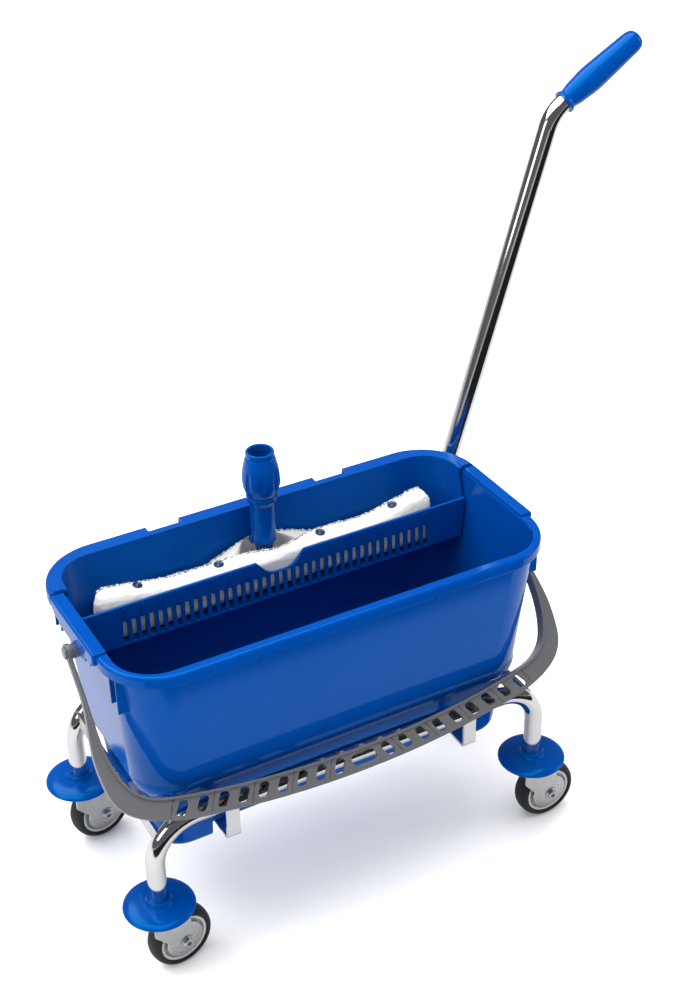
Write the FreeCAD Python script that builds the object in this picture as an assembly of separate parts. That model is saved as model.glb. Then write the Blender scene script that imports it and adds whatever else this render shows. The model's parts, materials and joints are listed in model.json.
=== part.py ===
import FreeCAD, Part
import math
import os

V = FreeCAD.Vector
os.makedirs("parts", exist_ok=True)

# Wheeled flat mop bucket.  All sizes in mm.  X runs along the bucket, Y across it, Z up.

# ---- bucket ----
RIM_LENGTH = 526.0
RIM_WIDTH = 260.0
RIM_CORNER_R = 68.0
RIM_OVERHANG = 9.5
RIM_DROP = 12.5
RIM_PLATE = 3.4
RIM_SKIRT = 2.6
RIM_EDGE_R = 3.6
BUCKET_WALL = 3.0
WALL_CORNER_R = 50.0
WALL_SLOPE = 0.081
TUB_DEPTH = 163.0
SHOULDER_H = 22.0
SHOULDER_IN = 12.0
WELL_SLOPE = 0.10
WELL_CORNER_R = 34.0
FOOT_HEIGHT = 22.5
REST_GAP = 0.2
PAD_END_GAP = 2.0
PAD_RISE = 2.4
PAD_OUT = 4.0
PAD_DROP = 19.0
MARK_HEIGHT = 1.0

# ---- frame ----
TUBE_D = 21.0
TUBE_WALL = 1.5
LEG_HEIGHT = 88.2
BEND_R = 52.0
LEG_OUTSET_X = 14.4
TUBE_GAP_Y = 10.8
WELD_GAP = 0.05
BAR_HEIGHT = 20.0
BAR_THICK = 4.0
BAR_DROP = 9.0
STRAP_WIDTH = 16.0
STRAP_THICK = 3.0
STRAP_FROM_BEND = 39.7
STRAP_DROP = 49.5
STRAP_BEND_R = 5.0

# ---- push handle ----
HANDLE_LEAN = 17.2
HANDLE_BEND = 41.5
HANDLE_LOWER = 615.0
HANDLE_UPPER = 128.0
HANDLE_BEND_R = 45.0
HANDLE_INSET = 31.1
SLEEVE_WALL = 2.0
SLEEVE_LENGTH = 62.0
SLEEVE_CLEAR = 0.05
GRIP_LENGTH = 114.0
GRIP_D = 30.5
GRIP_COLLAR_D = 27.0

# ---- casters ----
WHEEL_R = 37.5
TYRE_WIDTH = 25.0
TYRE_DEPTH = 8.5
HUB_WIDTH = 20.0
AXLE_D = 8.0
RUN_CLEAR = 0.05
CASTER_TRAIL = 21.0
FORK_THICK = 2.5
FORK_INNER = 28.6
CROWN_CLEAR = 3.6
DISC_R = 40.0
DISC_THICK = 15.0
DISC_RISE = 15.7
LEG_END_RISE = 21.5
NECK_D = 19.0
KINGPIN_D = 10.0
CASTER_TURN = {"fl": 8.3, "fr": 0.0, "bl": 11.1, "br": 5.0}

# ---- bail handle ----
PIVOT_DROP = 29.6
PIN_D = 8.0
BAIL_ARM_OUT = 12.0
BAIL_ARM_THICK = 4.2
EYE_PROUD = 0.25
BAIL_DEPTH = 15.0
BAIL_PAST_TUBE = 19.3
BAIL_BAND = 25.5
BAIL_BOW = 31.5
BAIL_BULGE = 8.0
BAIL_FLANGE = 2.6
BAIL_LIP = 2.2
BAIL_LIP_DEPTH = 8.0
BAIL_PLATE = 3.0
BAIL_RIB_DEPTH = 12.0
BAIL_FLANGE_RISE = 4.5
SLOT_COUNT_SIDE = 9
SLOT_FIRST = 30.0
SLOT_END_GAP = 64.2
SLOT_W = 11.6
SLOT_L = 15.4
SLOT_LEAN = 27.0
SLOT_CORNER_R = 3.6

# ---- sieve insert ----
INSERT_WALL = 2.6
INSERT_FRONT_T = 3.4
TRAY_WIDTH = 56.3
TRAY_DEPTH = 82.0
INSERT_FRONT_DROP = 30.0
INSERT_CLEAR = 2.0
LIP_T = 3.4
LIP_OUT = 3.2
LIP_DROP = 11.0
LIP_GAP_X = 106.0
LIP_GAP_W = 41.0
LIP_GAP_DEPTH = 8.5
DIP_HALF = 30.0
DIP_DEPTH = 19.0
SIEVE_END = 19.5
SIEVE_PITCH = 10.6
SIEVE_SLOT_W = 6.2
SIEVE_SLOT_DROP = 19.6
SIEVE_SLOT_RISE = 2.7
FLOOR_SLOTS = ((10.5, 29.5), (37.5, 54.5))
SIEVE_RIB_T = 2.0

# ---- mop ----
MOP_END_GAP = 23.2
MOP_FRONT_GAP = 1.4
STRIP_FRONT_T = 27.0
STRIP_BACK_T = 23.5
STRIP_PITCH = 31.4
STRIP_DROP = 1.0
STRIP_END_RISE = 15.0
BACK_END_DROP = 14.0
BACK_CORNER = 17.0
MOP_LIFT = 0.5
SOFT_GAP = 0.4
WING_IN = 16.0
WING_DROP = 8.0
WING_THICK = 3.0
HUB_LENGTH = 58.0
SOCKET_ROOM_FRONT = 5.0
SOCKET_ROOM_BACK = 0.9
HINGE_PIN_D = 5.0
HINGE_RISE = 7.4
HINGE_BARREL_D = 10.0
HUB_OVER_HINGE = 6.0
NOTCH_HALF = 32.0
SOCKET_FROM_STRIP = 24.2
SOCKET_D = 29.0
SOCKET_BORE = 25.0
SOCKET_LENGTH = 113.0
SOCKET_CHAMFER = 4.0
TILT_RISE = 8.0
TILT_STEP = 12.0
TILT_PIN_D = 6.0
YOKE_HALF = 4.0
EAR_GAP = 0.4
EAR_T = 4.4
SOCKET_OVER_PIN = 9.0
COLLAR_D = 36.0
COLLAR_DROP = 53.0
NUT_DROP = 44.0
NUT_RISE = 11.0
NUT_MAX_D = 44.0
NUT_TOP_D = 32.5
NUT_MOUTH_D = 26.0
NUT_FLUTES = 8

# ---- follow-on places ----
HL = RIM_LENGTH / 2
HW = RIM_WIDTH / 2
PAD_HALF_LENGTH = HW - RIM_CORNER_R - PAD_END_GAP
TUBE_R = TUBE_D / 2
CROWN_Z = 2 * WHEEL_R + CROWN_CLEAR
DISC_Z = CROWN_Z + DISC_RISE
LEG_END_Z = DISC_Z + LEG_END_RISE
TUBE_Z = LEG_END_Z + LEG_HEIGHT
BAR_TOP_Z = TUBE_Z - BAR_DROP
STRAP_TOP_Z = TUBE_Z - STRAP_DROP
BOTTOM_Z = STRAP_TOP_Z + REST_GAP
WELL_TOP_Z = TUBE_Z + 11.0
SHOULDER_TOP_Z = WELL_TOP_Z + SHOULDER_H
RIM_Z = SHOULDER_TOP_Z + TUB_DEPTH
FOOT_Z = BOTTOM_Z - FOOT_HEIGHT
WALL_TOP_L = HL - RIM_OVERHANG
WALL_TOP_W = HW - RIM_OVERHANG
TUB_LOW_IN = WALL_SLOPE * TUB_DEPTH
WELL_TOP_L = WALL_TOP_L - TUB_LOW_IN - SHOULDER_IN
WELL_TOP_W = WALL_TOP_W - TUB_LOW_IN - SHOULDER_IN
LEG_X = WELL_TOP_L + LEG_OUTSET_X
LEG_Y = WELL_TOP_W + TUBE_GAP_Y + TUBE_R
STRAP_X = LEG_X - BEND_R - STRAP_FROM_BEND
PIVOT_Z = RIM_Z - PIVOT_DROP
PIVOT_TO_TUBE = math.hypot(LEG_Y, PIVOT_Z - TUBE_Z)
BAIL_REACH = PIVOT_TO_TUBE + BAIL_PAST_TUBE
BAIL_OFF = TUBE_R + BAIL_RIB_DEPTH + BAIL_PLATE / 2 + REST_GAP
BAIL_REST = math.degrees(math.atan2(PIVOT_Z - TUBE_Z, LEG_Y) - math.asin(BAIL_OFF / PIVOT_TO_TUBE))
LIP_FRONT_Y = PAD_HALF_LENGTH + 1.5
INSERT_FLOOR_Z = RIM_Z - TRAY_DEPTH
TRAY_FLOOR_TOP = INSERT_FLOOR_Z + INSERT_WALL
INSERT_FRONT_TOP_Z = RIM_Z - INSERT_FRONT_DROP
TRAY_IN = RIM_OVERHANG + WALL_SLOPE * TRAY_DEPTH + BUCKET_WALL + INSERT_CLEAR + INSERT_WALL
INSERT_FRONT_Y = HW - TRAY_IN - TRAY_WIDTH - INSERT_FRONT_T
MOP_LENGTH = 2 * (HL - TRAY_IN - MOP_END_GAP)
MOP_LOW_Z = TRAY_FLOOR_TOP + MOP_LIFT
SIEVE_SLOT_TOP = INSERT_FRONT_TOP_Z - SIEVE_SLOT_DROP
SIEVE_SLOT_LOW = INSERT_FLOOR_Z + SIEVE_SLOT_RISE
SIEVE_SLOTS = round((MOP_LENGTH - 2 * SIEVE_END) / SIEVE_PITCH)
STRIP_FRONT_Y = INSERT_FRONT_Y + INSERT_FRONT_T + MOP_FRONT_GAP + STRIP_FRONT_T / 2
STRIP_BACK_Y = STRIP_FRONT_Y + STRIP_PITCH
STRIP_TOP_Z = INSERT_FRONT_TOP_Z - STRIP_DROP
WING_LENGTH = MOP_LENGTH - 2 * WING_IN
WING_TOP_Z = STRIP_TOP_Z - WING_DROP
HINGE_Z = TRAY_FLOOR_TOP + HINGE_RISE
HUB_TOP_Z = HINGE_Z + HUB_OVER_HINGE
TILT_LOW_Z = HUB_TOP_Z + TILT_RISE
TILT_HIGH_Z = TILT_LOW_Z + TILT_STEP
SOCKET_Y = STRIP_FRONT_Y + SOCKET_FROM_STRIP
SOCKET_BASE_Z = TILT_HIGH_Z + SOCKET_OVER_PIN
SOCKET_TOP_Z = SOCKET_BASE_Z + SOCKET_LENGTH
COLLAR_Z = SOCKET_TOP_Z - COLLAR_DROP
NUT_LOW_Z = SOCKET_TOP_Z - NUT_DROP
NUT_TOP_Z = SOCKET_TOP_Z + NUT_RISE

parts = {}


# ---- helpers ----
def rr_wire(a, b, r, z):
    """Rounded rectangle with half sizes a, b and corner radius r at height z."""
    k = r * (1 - math.sqrt(0.5))
    e = []
    p = [(a - r, -b), (a - k, -b + k), (a, -b + r), (a, b - r), (a - k, b - k), (a - r, b)]
    q = [(-a + r, b), (-a + k, b - k), (-a, b - r), (-a, -b + r), (-a + k, -b + k), (-a + r, -b)]
    v = [V(x, y, z) for x, y in p + q]
    e.append(Part.Arc(v[0], v[1], v[2]).toShape())
    e.append(Part.makeLine(v[2], v[3]))
    e.append(Part.Arc(v[3], v[4], v[5]).toShape())
    e.append(Part.makeLine(v[5], v[6]))
    e.append(Part.Arc(v[6], v[7], v[8]).toShape())
    e.append(Part.makeLine(v[8], v[9]))
    e.append(Part.Arc(v[9], v[10], v[11]).toShape())
    e.append(Part.makeLine(v[11], v[0]))
    return Part.Wire(e)


def rr_prism(a, b, r, z0, z1):
    return Part.Face(rr_wire(a, b, r, z0)).extrude(V(0, 0, z1 - z0))


def loft(sections):
    return Part.makeLoft([rr_wire(*s) for s in sections], True, True)


def box(x0, x1, y0, y1, z0, z1):
    return Part.makeBox(x1 - x0, y1 - y0, z1 - z0, V(x0, y0, z0))


def cyl(r, p, d, h):
    return Part.makeCylinder(r, h, V(*p), V(*d))


def poly_prism(points, along):
    """Closed outline of 3-D points pushed along a vector."""
    w = Part.makePolygon([V(*p) for p in points] + [V(*points[0])])
    return Part.Face(w).extrude(V(*along))


def revolve(profile, centre, axis=(0, 0, 1)):
    """Spin (radius, height) points about a line along Z through the centre."""
    cx, cy, cz = centre
    pts = [V(cx + r, cy, cz + h) for r, h in profile]
    face = Part.Face(Part.makePolygon(pts + [pts[0]]))
    return face.revolve(V(cx, cy, cz), V(*axis), 360)


def one(shape):
    """The single solid of a boolean result, cleaned of split faces."""
    s = shape.removeSplitter()
    solids = s.Solids
    if len(solids) != 1:
        raise ValueError("expected one solid, got %d" % len(solids))
    return solids[0]


def mirror_x(shape):
    return shape.mirror(V(0, 0, 0), V(1, 0, 0))


def mirror_y(shape):
    return shape.mirror(V(0, 0, 0), V(0, 1, 0))


def pipe(edges, r, start, direction):
    prof = Part.Wire([Part.makeCircle(r, V(*start), V(*direction))])
    return Part.Wire(edges).makePipeShell([prof], True, True)


def spline_edge(points):
    c = Part.BSplineCurve()
    c.interpolate([V(*p) for p in points])
    return c.toShape()


# ---- bucket ----
def wall_in(z):
    return WALL_SLOPE * (RIM_Z - z)


def tub_sections(wall, flare):
    """Sections of the outside (wall 0) or of the hollow (wall above 0), top to bottom."""
    rows = []
    if flare:
        top = WALL_TOP_L - wall
        topw = WALL_TOP_W - wall
        rows.append((top + 1.6, topw + 1.6, WALL_CORNER_R - wall + 1.6, RIM_Z + 1.0))
        rows.append((top + 1.6, topw + 1.6, WALL_CORNER_R - wall + 1.6, RIM_Z))
        rows.append((top + 0.5, topw + 0.5, WALL_CORNER_R - wall + 0.5, RIM_Z - 1.0))
    low = RIM_Z - 3.0
    i = wall_in(low)
    rows.append((WALL_TOP_L - wall - i, WALL_TOP_W - wall - i, WALL_CORNER_R - wall, low))
    steps = 6
    for n in range(steps + 1):
        t = math.pi / 2 * n / steps
        i = TUB_LOW_IN + SHOULDER_IN * (1 - math.cos(t)) + wall * math.cos(t)
        z = SHOULDER_TOP_Z - SHOULDER_H * math.sin(t) + wall * math.sin(t)
        r = WALL_CORNER_R + (WELL_CORNER_R - WALL_CORNER_R) * n / steps - wall
        rows.append((WALL_TOP_L - i, WALL_TOP_W - i, r, z))
    base = FOOT_Z + wall
    i = WELL_SLOPE * (WELL_TOP_Z - FOOT_Z)
    r = WELL_CORNER_R - wall
    top_z = WELL_TOP_Z + wall * 0.6 - (0 if wall else 1.0)
    rows.append((WELL_TOP_L - wall, WELL_TOP_W - wall, r, top_z))
    rows.append((WELL_TOP_L - wall - i * 0.94, WELL_TOP_W - wall - i * 0.94, r, base + 6.0))
    rows.append((WELL_TOP_L - wall - i - 1.2, WELL_TOP_W - wall - i - 1.2, r - 1.0, base + 2.0))
    rows.append((WELL_TOP_L - wall - i - 5.0, WELL_TOP_W - wall - i - 5.0, r - 3.0, base))
    return rows


outer = loft(tub_sections(0.0, False))
cavity = loft(tub_sections(BUCKET_WALL, True))
foot_in = STRAP_X + STRAP_WIDTH / 2 + 3.0
outer = outer.cut(box(-foot_in, foot_in, -HW, HW, FOOT_Z - 5, BOTTOM_Z))
step_in = foot_in + BUCKET_WALL
cavity = cavity.cut(box(-step_in, step_in, -HW, HW, FOOT_Z - 5, BOTTOM_Z + BUCKET_WALL))

rim = rr_prism(HL, HW, RIM_CORNER_R, RIM_Z - RIM_DROP, RIM_Z)
top_edges = [e for e in rim.Edges if e.BoundBox.ZMin > RIM_Z - 0.01]
rim = rim.makeFillet(RIM_EDGE_R, top_edges)
under = rr_prism(
    HL - RIM_SKIRT, HW - RIM_SKIRT, RIM_CORNER_R - RIM_SKIRT, RIM_Z - RIM_DROP - 1, RIM_Z - RIM_PLATE
)
rim = rim.cut(under)


def end_pad(side):
    """Raised cover over the bail pivot on one end rim."""
    x0 = WALL_TOP_L - BUCKET_WALL + 1.0
    x1 = HL + PAD_OUT
    z0 = RIM_Z - PAD_DROP
    z1 = RIM_Z + PAD_RISE
    pad = box(x0, x1, -PAD_HALF_LENGTH, PAD_HALF_LENGTH, z0, z1)
    long_top = [
        e for e in pad.Edges
        if e.BoundBox.ZMin > z1 - 0.01 and e.BoundBox.XMin > x0 + 0.01
    ]
    ends = [
        e for e in pad.Edges
        if e.BoundBox.XMin > x1 - 0.01 and e.BoundBox.YLength < 0.01
    ]
    pad = pad.makeFillet(3.0, long_top + ends)
    inner = box(WALL_TOP_L - 4, x1 - 2.4, -PAD_HALF_LENGTH + 2.4, PAD_HALF_LENGTH - 2.4, z0 - 1, z1 - 3.2)
    pad = pad.cut(inner)
    for s in (-1, 1):
        y = s * (PAD_HALF_LENGTH - 11)
        step = box(x0 - 1, x1 + 1, y - 12, y + 12, z0 - 1, z0 + 4.5)
        pad = pad.cut(step)
        y = s * (PAD_HALF_LENGTH - 3)
        step = box(x0 - 1, x1 + 1, y - 4, y + 4, z0 - 1, z0 + 8.5)
        pad = pad.cut(step)
    return pad if side > 0 else mirror_x(pad)


BOSS_R = 10.5
BOSS_TIP = HL - 2.6
PIN_HOLE_R = PIN_D / 2 + RUN_CLEAR


def end_details(side):
    """Pivot boss with its two webs, and the stop ribs near the corners."""
    shapes = []
    x0 = WALL_TOP_L - wall_in(PIVOT_Z) - BUCKET_WALL / 2
    shapes.append(cyl(BOSS_R, (x0, 0, PIVOT_Z), (1, 0, 0), BOSS_TIP - x0))
    for y in (-BOSS_R, BOSS_R - 2.4):
        shapes.append(box(x0, BOSS_TIP - 1.5, y, y + 2.4, PIVOT_Z, RIM_Z - 2.0))
    for s in (-1, 1):
        for y, low in ((PAD_HALF_LENGTH + 11.0, 54.0), (PAD_HALF_LENGTH + 28.0, 57.0)):
            w = WALL_TOP_L - wall_in(RIM_Z - low)
            shapes.append(box(w - 24, w + 6.5, s * y - 1.3, s * y + 1.3, RIM_Z - low, RIM_Z - 2.0))
    if side < 0:
        shapes = [mirror_x(s) for s in shapes]
    return shapes


bucket = outer.fuse(rim)
for side in (-1, 1):
    bucket = bucket.fuse(end_pad(side))
    for extra in end_details(side):
        bucket = bucket.fuse(extra)


def lip_gap(side, margin):
    """Finger notch through the back rim, the same in the bucket and in the sieve insert above it."""
    x = side * LIP_GAP_X
    w = LIP_GAP_W / 2 + margin
    return box(x - w, x + w, HW - LIP_GAP_DEPTH - margin, HW + 9, RIM_Z - 30, RIM_Z + 12)


def level_mark(x):
    """Thin raised corner mark on the front wall below the rim."""
    y = -(WALL_TOP_W - wall_in(RIM_Z - 21))
    a = box(x, x + 30, y - MARK_HEIGHT, y + 1.5, RIM_Z - 22.6, RIM_Z - 21.2)
    b = box(x, x + 1.4, y - MARK_HEIGHT, y + 1.5, RIM_Z - 27.0, RIM_Z - 21.2)
    return a.fuse(b)


for x in (-110.0, 103.0):
    bucket = bucket.fuse(level_mark(x))
bucket = bucket.cut(cavity)
for side in (-1, 1):
    x0 = side * (WALL_TOP_L - wall_in(PIVOT_Z) + 1.0)
    bucket = bucket.cut(cyl(PIN_HOLE_R, (x0, 0, PIVOT_Z), (side, 0, 0), 30))
for side in (-1, 1):
    bucket = bucket.cut(lip_gap(side, 0.4))
parts["bucket"] = one(bucket)


# ---- frame ----
def frame_path(y):
    """Centre line of one bent tube: up a leg, along, and down the other leg."""
    k = BEND_R * math.sqrt(0.5)
    cx = LEG_X - BEND_R
    cz = TUBE_Z - BEND_R
    e = [Part.makeLine(V(-LEG_X, y, LEG_END_Z), V(-LEG_X, y, cz))]
    e.append(Part.Arc(V(-LEG_X, y, cz), V(-cx - k, y, cz + k), V(-cx, y, TUBE_Z)).toShape())
    e.append(Part.makeLine(V(-cx, y, TUBE_Z), V(cx, y, TUBE_Z)))
    e.append(Part.Arc(V(cx, y, TUBE_Z), V(cx + k, y, cz + k), V(LEG_X, y, cz)).toShape())
    e.append(Part.makeLine(V(LEG_X, y, cz), V(LEG_X, y, LEG_END_Z)))
    return e


def frame_solid(y, r):
    return pipe(frame_path(y), r, (-LEG_X, y, LEG_END_Z), (0, 0, 1))


def biggest(shape):
    return max(shape.Solids, key=lambda s: s.Volume)


fits = {}
for name, y in (("front_frame_tube", -LEG_Y), ("rear_frame_tube", LEG_Y)):
    parts[name] = one(frame_solid(y, TUBE_R).cut(frame_solid(y, TUBE_R - TUBE_WALL)))
    fits[y] = frame_solid(y, TUBE_R + WELD_GAP)

BAR_OUT_X = LEG_X - BEND_R + math.sqrt(BEND_R ** 2 - (BEND_R - (TUBE_Z - BAR_TOP_Z) - BAR_HEIGHT) ** 2)
for side, name in ((-1, "left_cross_bar"), (1, "right_cross_bar")):
    bar = box(BAR_OUT_X - BAR_THICK, BAR_OUT_X, -LEG_Y, LEG_Y, BAR_TOP_Z - BAR_HEIGHT, BAR_TOP_Z)
    if side < 0:
        bar = mirror_x(bar)
    for f in fits.values():
        bar = bar.cut(f)
    parts[name] = biggest(bar)

STRAP_OUT_Y = LEG_Y + 3.9
for side, name in ((-1, "left_strap"), (1, "right_strap")):
    x = side * STRAP_X
    low = STRAP_TOP_Z - STRAP_THICK
    u = box(x - STRAP_WIDTH / 2, x + STRAP_WIDTH / 2, -STRAP_OUT_Y, STRAP_OUT_Y, low, TUBE_Z)
    u = u.makeFillet(STRAP_BEND_R, [
        e for e in u.Edges if e.BoundBox.ZMax < low + 0.01 and e.BoundBox.YLength < 0.01
    ])
    yi = STRAP_OUT_Y - STRAP_THICK
    gap = box(x - STRAP_WIDTH, x + STRAP_WIDTH, -yi, yi, STRAP_TOP_Z, TUBE_Z + 9)
    gap = gap.makeFillet(STRAP_BEND_R - STRAP_THICK, [
        e for e in gap.Edges if e.BoundBox.ZMax < STRAP_TOP_Z + 0.01 and e.BoundBox.YLength < 0.01
    ])
    u = u.cut(gap)
    for f in fits.values():
        u = u.cut(f)
    parts[name] = biggest(u)


# ---- casters ----
NECK_LOW_Z = DISC_Z - 8.0
FLANGE_Z = NECK_LOW_Z - 2.0
CORNERS = {"fl": (-LEG_X, -LEG_Y), "fr": (LEG_X, -LEG_Y), "bl": (-LEG_X, LEG_Y), "br": (LEG_X, LEG_Y)}


def leg_plug(x, y):
    """Plug in a leg end: spigot in the tube, neck for the disc, flange under it."""
    spigot = TUBE_R - TUBE_WALL - RUN_CLEAR
    neck = NECK_D / 2
    flange = neck + 3.0
    hole = KINGPIN_D / 2 + RUN_CLEAR
    top = LEG_END_Z + 30.0
    profile = [
        (hole, FLANGE_Z), (flange, FLANGE_Z), (flange, NECK_LOW_Z), (neck, NECK_LOW_Z),
        (neck, LEG_END_Z - WELD_GAP), (spigot, LEG_END_Z - WELD_GAP), (spigot, top),
        (0, top), (0, top - 8.0), (hole, top - 8.0),
    ]
    return revolve(profile, (x, y, 0))


parts["leg_plugs"] = Part.makeCompound([one(leg_plug(x, y)) for x, y in CORNERS.values()])


def bumper_disc():
    """Rounded lens with a collar; it turns on the neck."""
    hole = NECK_D / 2 + RUN_CLEAR
    half = DISC_THICK / 2
    collar = NECK_D / 2 + 4.2
    top = []
    n = 12
    for i in range(n + 1):
        u = i / n
        r = collar + 2.4 + (DISC_R - collar - 2.4) * math.sin(math.pi / 2 * u)
        z = (half - 1.4) * max(0.0, 1 - ((r - collar) / (DISC_R - collar)) ** 2.6) ** 0.55
        top.append((r, z))
    upper = [V(r, 0, z) for r, z in top]
    lower = [V(r, 0, -z) for r, z in reversed(top)]
    rim = Part.BSplineCurve()
    rim.interpolate(upper + lower[1:])
    edges = [rim.toShape()]
    a = upper[0]
    b = lower[-1]
    line = [b, V(collar, 0, b.z - 0.3), V(hole, 0, b.z - 0.3), V(hole, 0, half + 3.4)]
    line += [V(collar - 0.9, 0, half + 3.4), V(collar, 0, half + 2.2), V(collar + 0.7, 0, half), a]
    edges += [Part.makeLine(line[i], line[i + 1]) for i in range(len(line) - 1)]
    face = Part.Face(Part.Wire(edges))
    return face.revolve(V(0, 0, 0), V(0, 0, 1), 360)


FORK_OUT = FORK_INNER / 2 + FORK_THICK
CROWN_TOP = CROWN_Z + FORK_THICK
RACE_TOP = FLANGE_Z - REST_GAP


def fork():
    """Pressed fork: crown, two legs, ball race; swivel axis at the origin."""
    t = CASTER_TRAIL
    side = [(-17, CROWN_TOP), (t + 4.5, CROWN_TOP), (t + 10.6, WHEEL_R + 4.0), (t - 9.6, WHEEL_R - 5.6), (-17, 66.0)]
    pts = [(x, -FORK_OUT, z) for x, z in side]
    leg = poly_prism(pts, (0, FORK_THICK, 0))
    leg = leg.fuse(cyl(11.0, (t, -FORK_OUT, WHEEL_R), (0, 1, 0), FORK_THICK))
    body = box(-17, t + 4.5, -FORK_OUT, FORK_OUT, CROWN_Z, CROWN_TOP)
    body = body.fuse(leg).fuse(mirror_y(leg)).removeSplitter()
    bends = [
        e for e in body.Edges
        if e.BoundBox.ZMin > CROWN_TOP - 0.01 and e.BoundBox.YLength < 0.01 and e.Length > 20
    ]
    body = body.makeFillet(FORK_THICK - 0.3, bends)
    body = body.fuse(cyl(16.0, (0, 0, CROWN_TOP - 0.5), (0, 0, 1), RACE_TOP - CROWN_TOP + 0.5))
    body = body.cut(cyl(KINGPIN_D / 2 + WELD_GAP, (0, 0, CROWN_Z - 5), (0, 0, 1), 30))
    body = body.cut(cyl(AXLE_D / 2 + RUN_CLEAR, (t, -40, WHEEL_R), (0, 1, 0), 80))
    return one(body)


def kingpin():
    r = KINGPIN_D / 2
    head = CROWN_Z - WELD_GAP
    top = LEG_END_Z + 18.0
    return revolve([(0, head - 2.2), (7.5, head - 2.2), (8.2, head), (r, head), (r, top), (0, top)], (0, 0, 0))


def about_axle(profile):
    """Spin (radius, y) points about the wheel's axle."""
    c = V(CASTER_TRAIL, 0, WHEEL_R)
    pts = [V(c.x + r, y, c.z) for r, y in profile]
    face = Part.Face(Part.makePolygon(pts + [pts[0]]))
    return face.revolve(c, V(0, 1, 0), 360)


HUB_R = WHEEL_R - TYRE_DEPTH
BOSS_HALF = FORK_INNER / 2 - 2.2


def hub():
    h = HUB_WIDTH / 2
    half = [
        (HUB_R, h), (HUB_R - 3.0, h), (HUB_R - 4.4, h - 3.6), (16.0, h - 5.4),
        (11.0, h - 3.0), (10.0, BOSS_HALF), (AXLE_D / 2 + RUN_CLEAR, BOSS_HALF),
    ]
    low = [(r, -y) for r, y in reversed(half)]
    return one(about_axle(half + low))


def tyre():
    w = TYRE_WIDTH / 2
    inner = HUB_R + WELD_GAP
    half = [
        (WHEEL_R, 0), (WHEEL_R - 0.15, 3.0), (WHEEL_R - 0.7, 6.0), (WHEEL_R - 1.7, 8.8),
        (WHEEL_R - 3.2, 10.9), (WHEEL_R - 5.2, w - 0.3), (WHEEL_R - 7.0, w), (inner, w - 1.6),
    ]
    low = [(r, -y) for r, y in reversed(half[1:])]
    return one(about_axle(half + low))


def guard(side):
    y0 = side * (BOSS_HALF + 0.5)
    y1 = side * (FORK_INNER / 2 - 0.1)
    ym = side * (BOSS_HALF + 0.3)
    ring = [(AXLE_D / 2 + RUN_CLEAR, y0), (19.0, y0), (26.0, ym - side * 0.9)]
    ring += [(26.0, ym + side * 0.2), (19.0, y1), (AXLE_D / 2 + RUN_CLEAR, y1)]
    return about_axle(ring)


def hexagon(af, y0, y1):
    """Hexagonal prism along the axle between two y values."""
    r = af / math.sqrt(3)
    pts = []
    for i in range(6):
        a = math.radians(60 * i + 30)
        pts.append((CASTER_TRAIL + r * math.cos(a), y0, WHEEL_R + r * math.sin(a)))
    return poly_prism(pts, (0, y1 - y0, 0))


def axle_bolt():
    y = FORK_OUT + WELD_GAP
    shank = cyl(AXLE_D / 2, (CASTER_TRAIL, -y - 1, WHEEL_R), (0, 1, 0), 2 * y + 10.0)
    return one(shank.fuse(hexagon(13.0, -y - 5.3, -y)))


def axle_nut():
    y = FORK_OUT + WELD_GAP
    nut = hexagon(13.0, y, y + 6.5)
    return one(nut.cut(cyl(AXLE_D / 2 + RUN_CLEAR, (CASTER_TRAIL, 0, WHEEL_R), (0, 1, 0), 60)))


caster = {
    "bumper_disc": bumper_disc(), "kingpin": kingpin(), "fork": fork(), "wheel_hub": hub(),
    "tyre": tyre(), "axle_bolt": axle_bolt(), "axle_nut": axle_nut(),
    "thread_guards": Part.makeCompound([one(guard(-1)), one(guard(1))]),
}
caster["bumper_disc"].translate(V(0, 0, DISC_Z))
for corner, (x, y) in CORNERS.items():
    for name, shape in caster.items():
        s = shape.copy()
        s.rotate(V(0, 0, 0), V(0, 0, 1), CASTER_TURN[corner])
        s.translate(V(x, y, 0))
        parts["%s_%s" % (corner, name)] = s


# ---- push handle ----
lean = math.radians(HANDLE_LEAN)
top_lean = math.radians(HANDLE_LEAN + HANDLE_BEND)
UP = V(math.sin(lean), 0, math.cos(lean))
OUT = V(math.sin(top_lean), 0, math.cos(top_lean))
BASE = V(LEG_X - HANDLE_INSET, LEG_Y, TUBE_Z + 1.0)
KNEE = BASE + UP * HANDLE_LOWER
TIP = KNEE + OUT * HANDLE_UPPER
tan_len = HANDLE_BEND_R * math.tan(math.radians(HANDLE_BEND) / 2)


def handle_solid(r, start):
    p0 = BASE + UP * start
    p1 = KNEE - UP * tan_len
    p2 = KNEE + OUT * tan_len
    side = V(UP.z, 0, -UP.x)
    centre = p1 + side * HANDLE_BEND_R
    half = math.radians(HANDLE_BEND) / 2
    mid = centre - (side * math.cos(half) - UP * math.sin(half)) * HANDLE_BEND_R
    e = [Part.makeLine(p0, p1), Part.Arc(p1, mid, p2).toShape(), Part.makeLine(p2, TIP)]
    return pipe(e, r, (p0.x, p0.y, p0.z), (UP.x, UP.y, UP.z))


SOCKET_STOP = 22.0
tube = handle_solid(TUBE_R, SOCKET_STOP).cut(handle_solid(TUBE_R - TUBE_WALL, SOCKET_STOP))
parts["push_handle_tube"] = one(tube)

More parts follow.
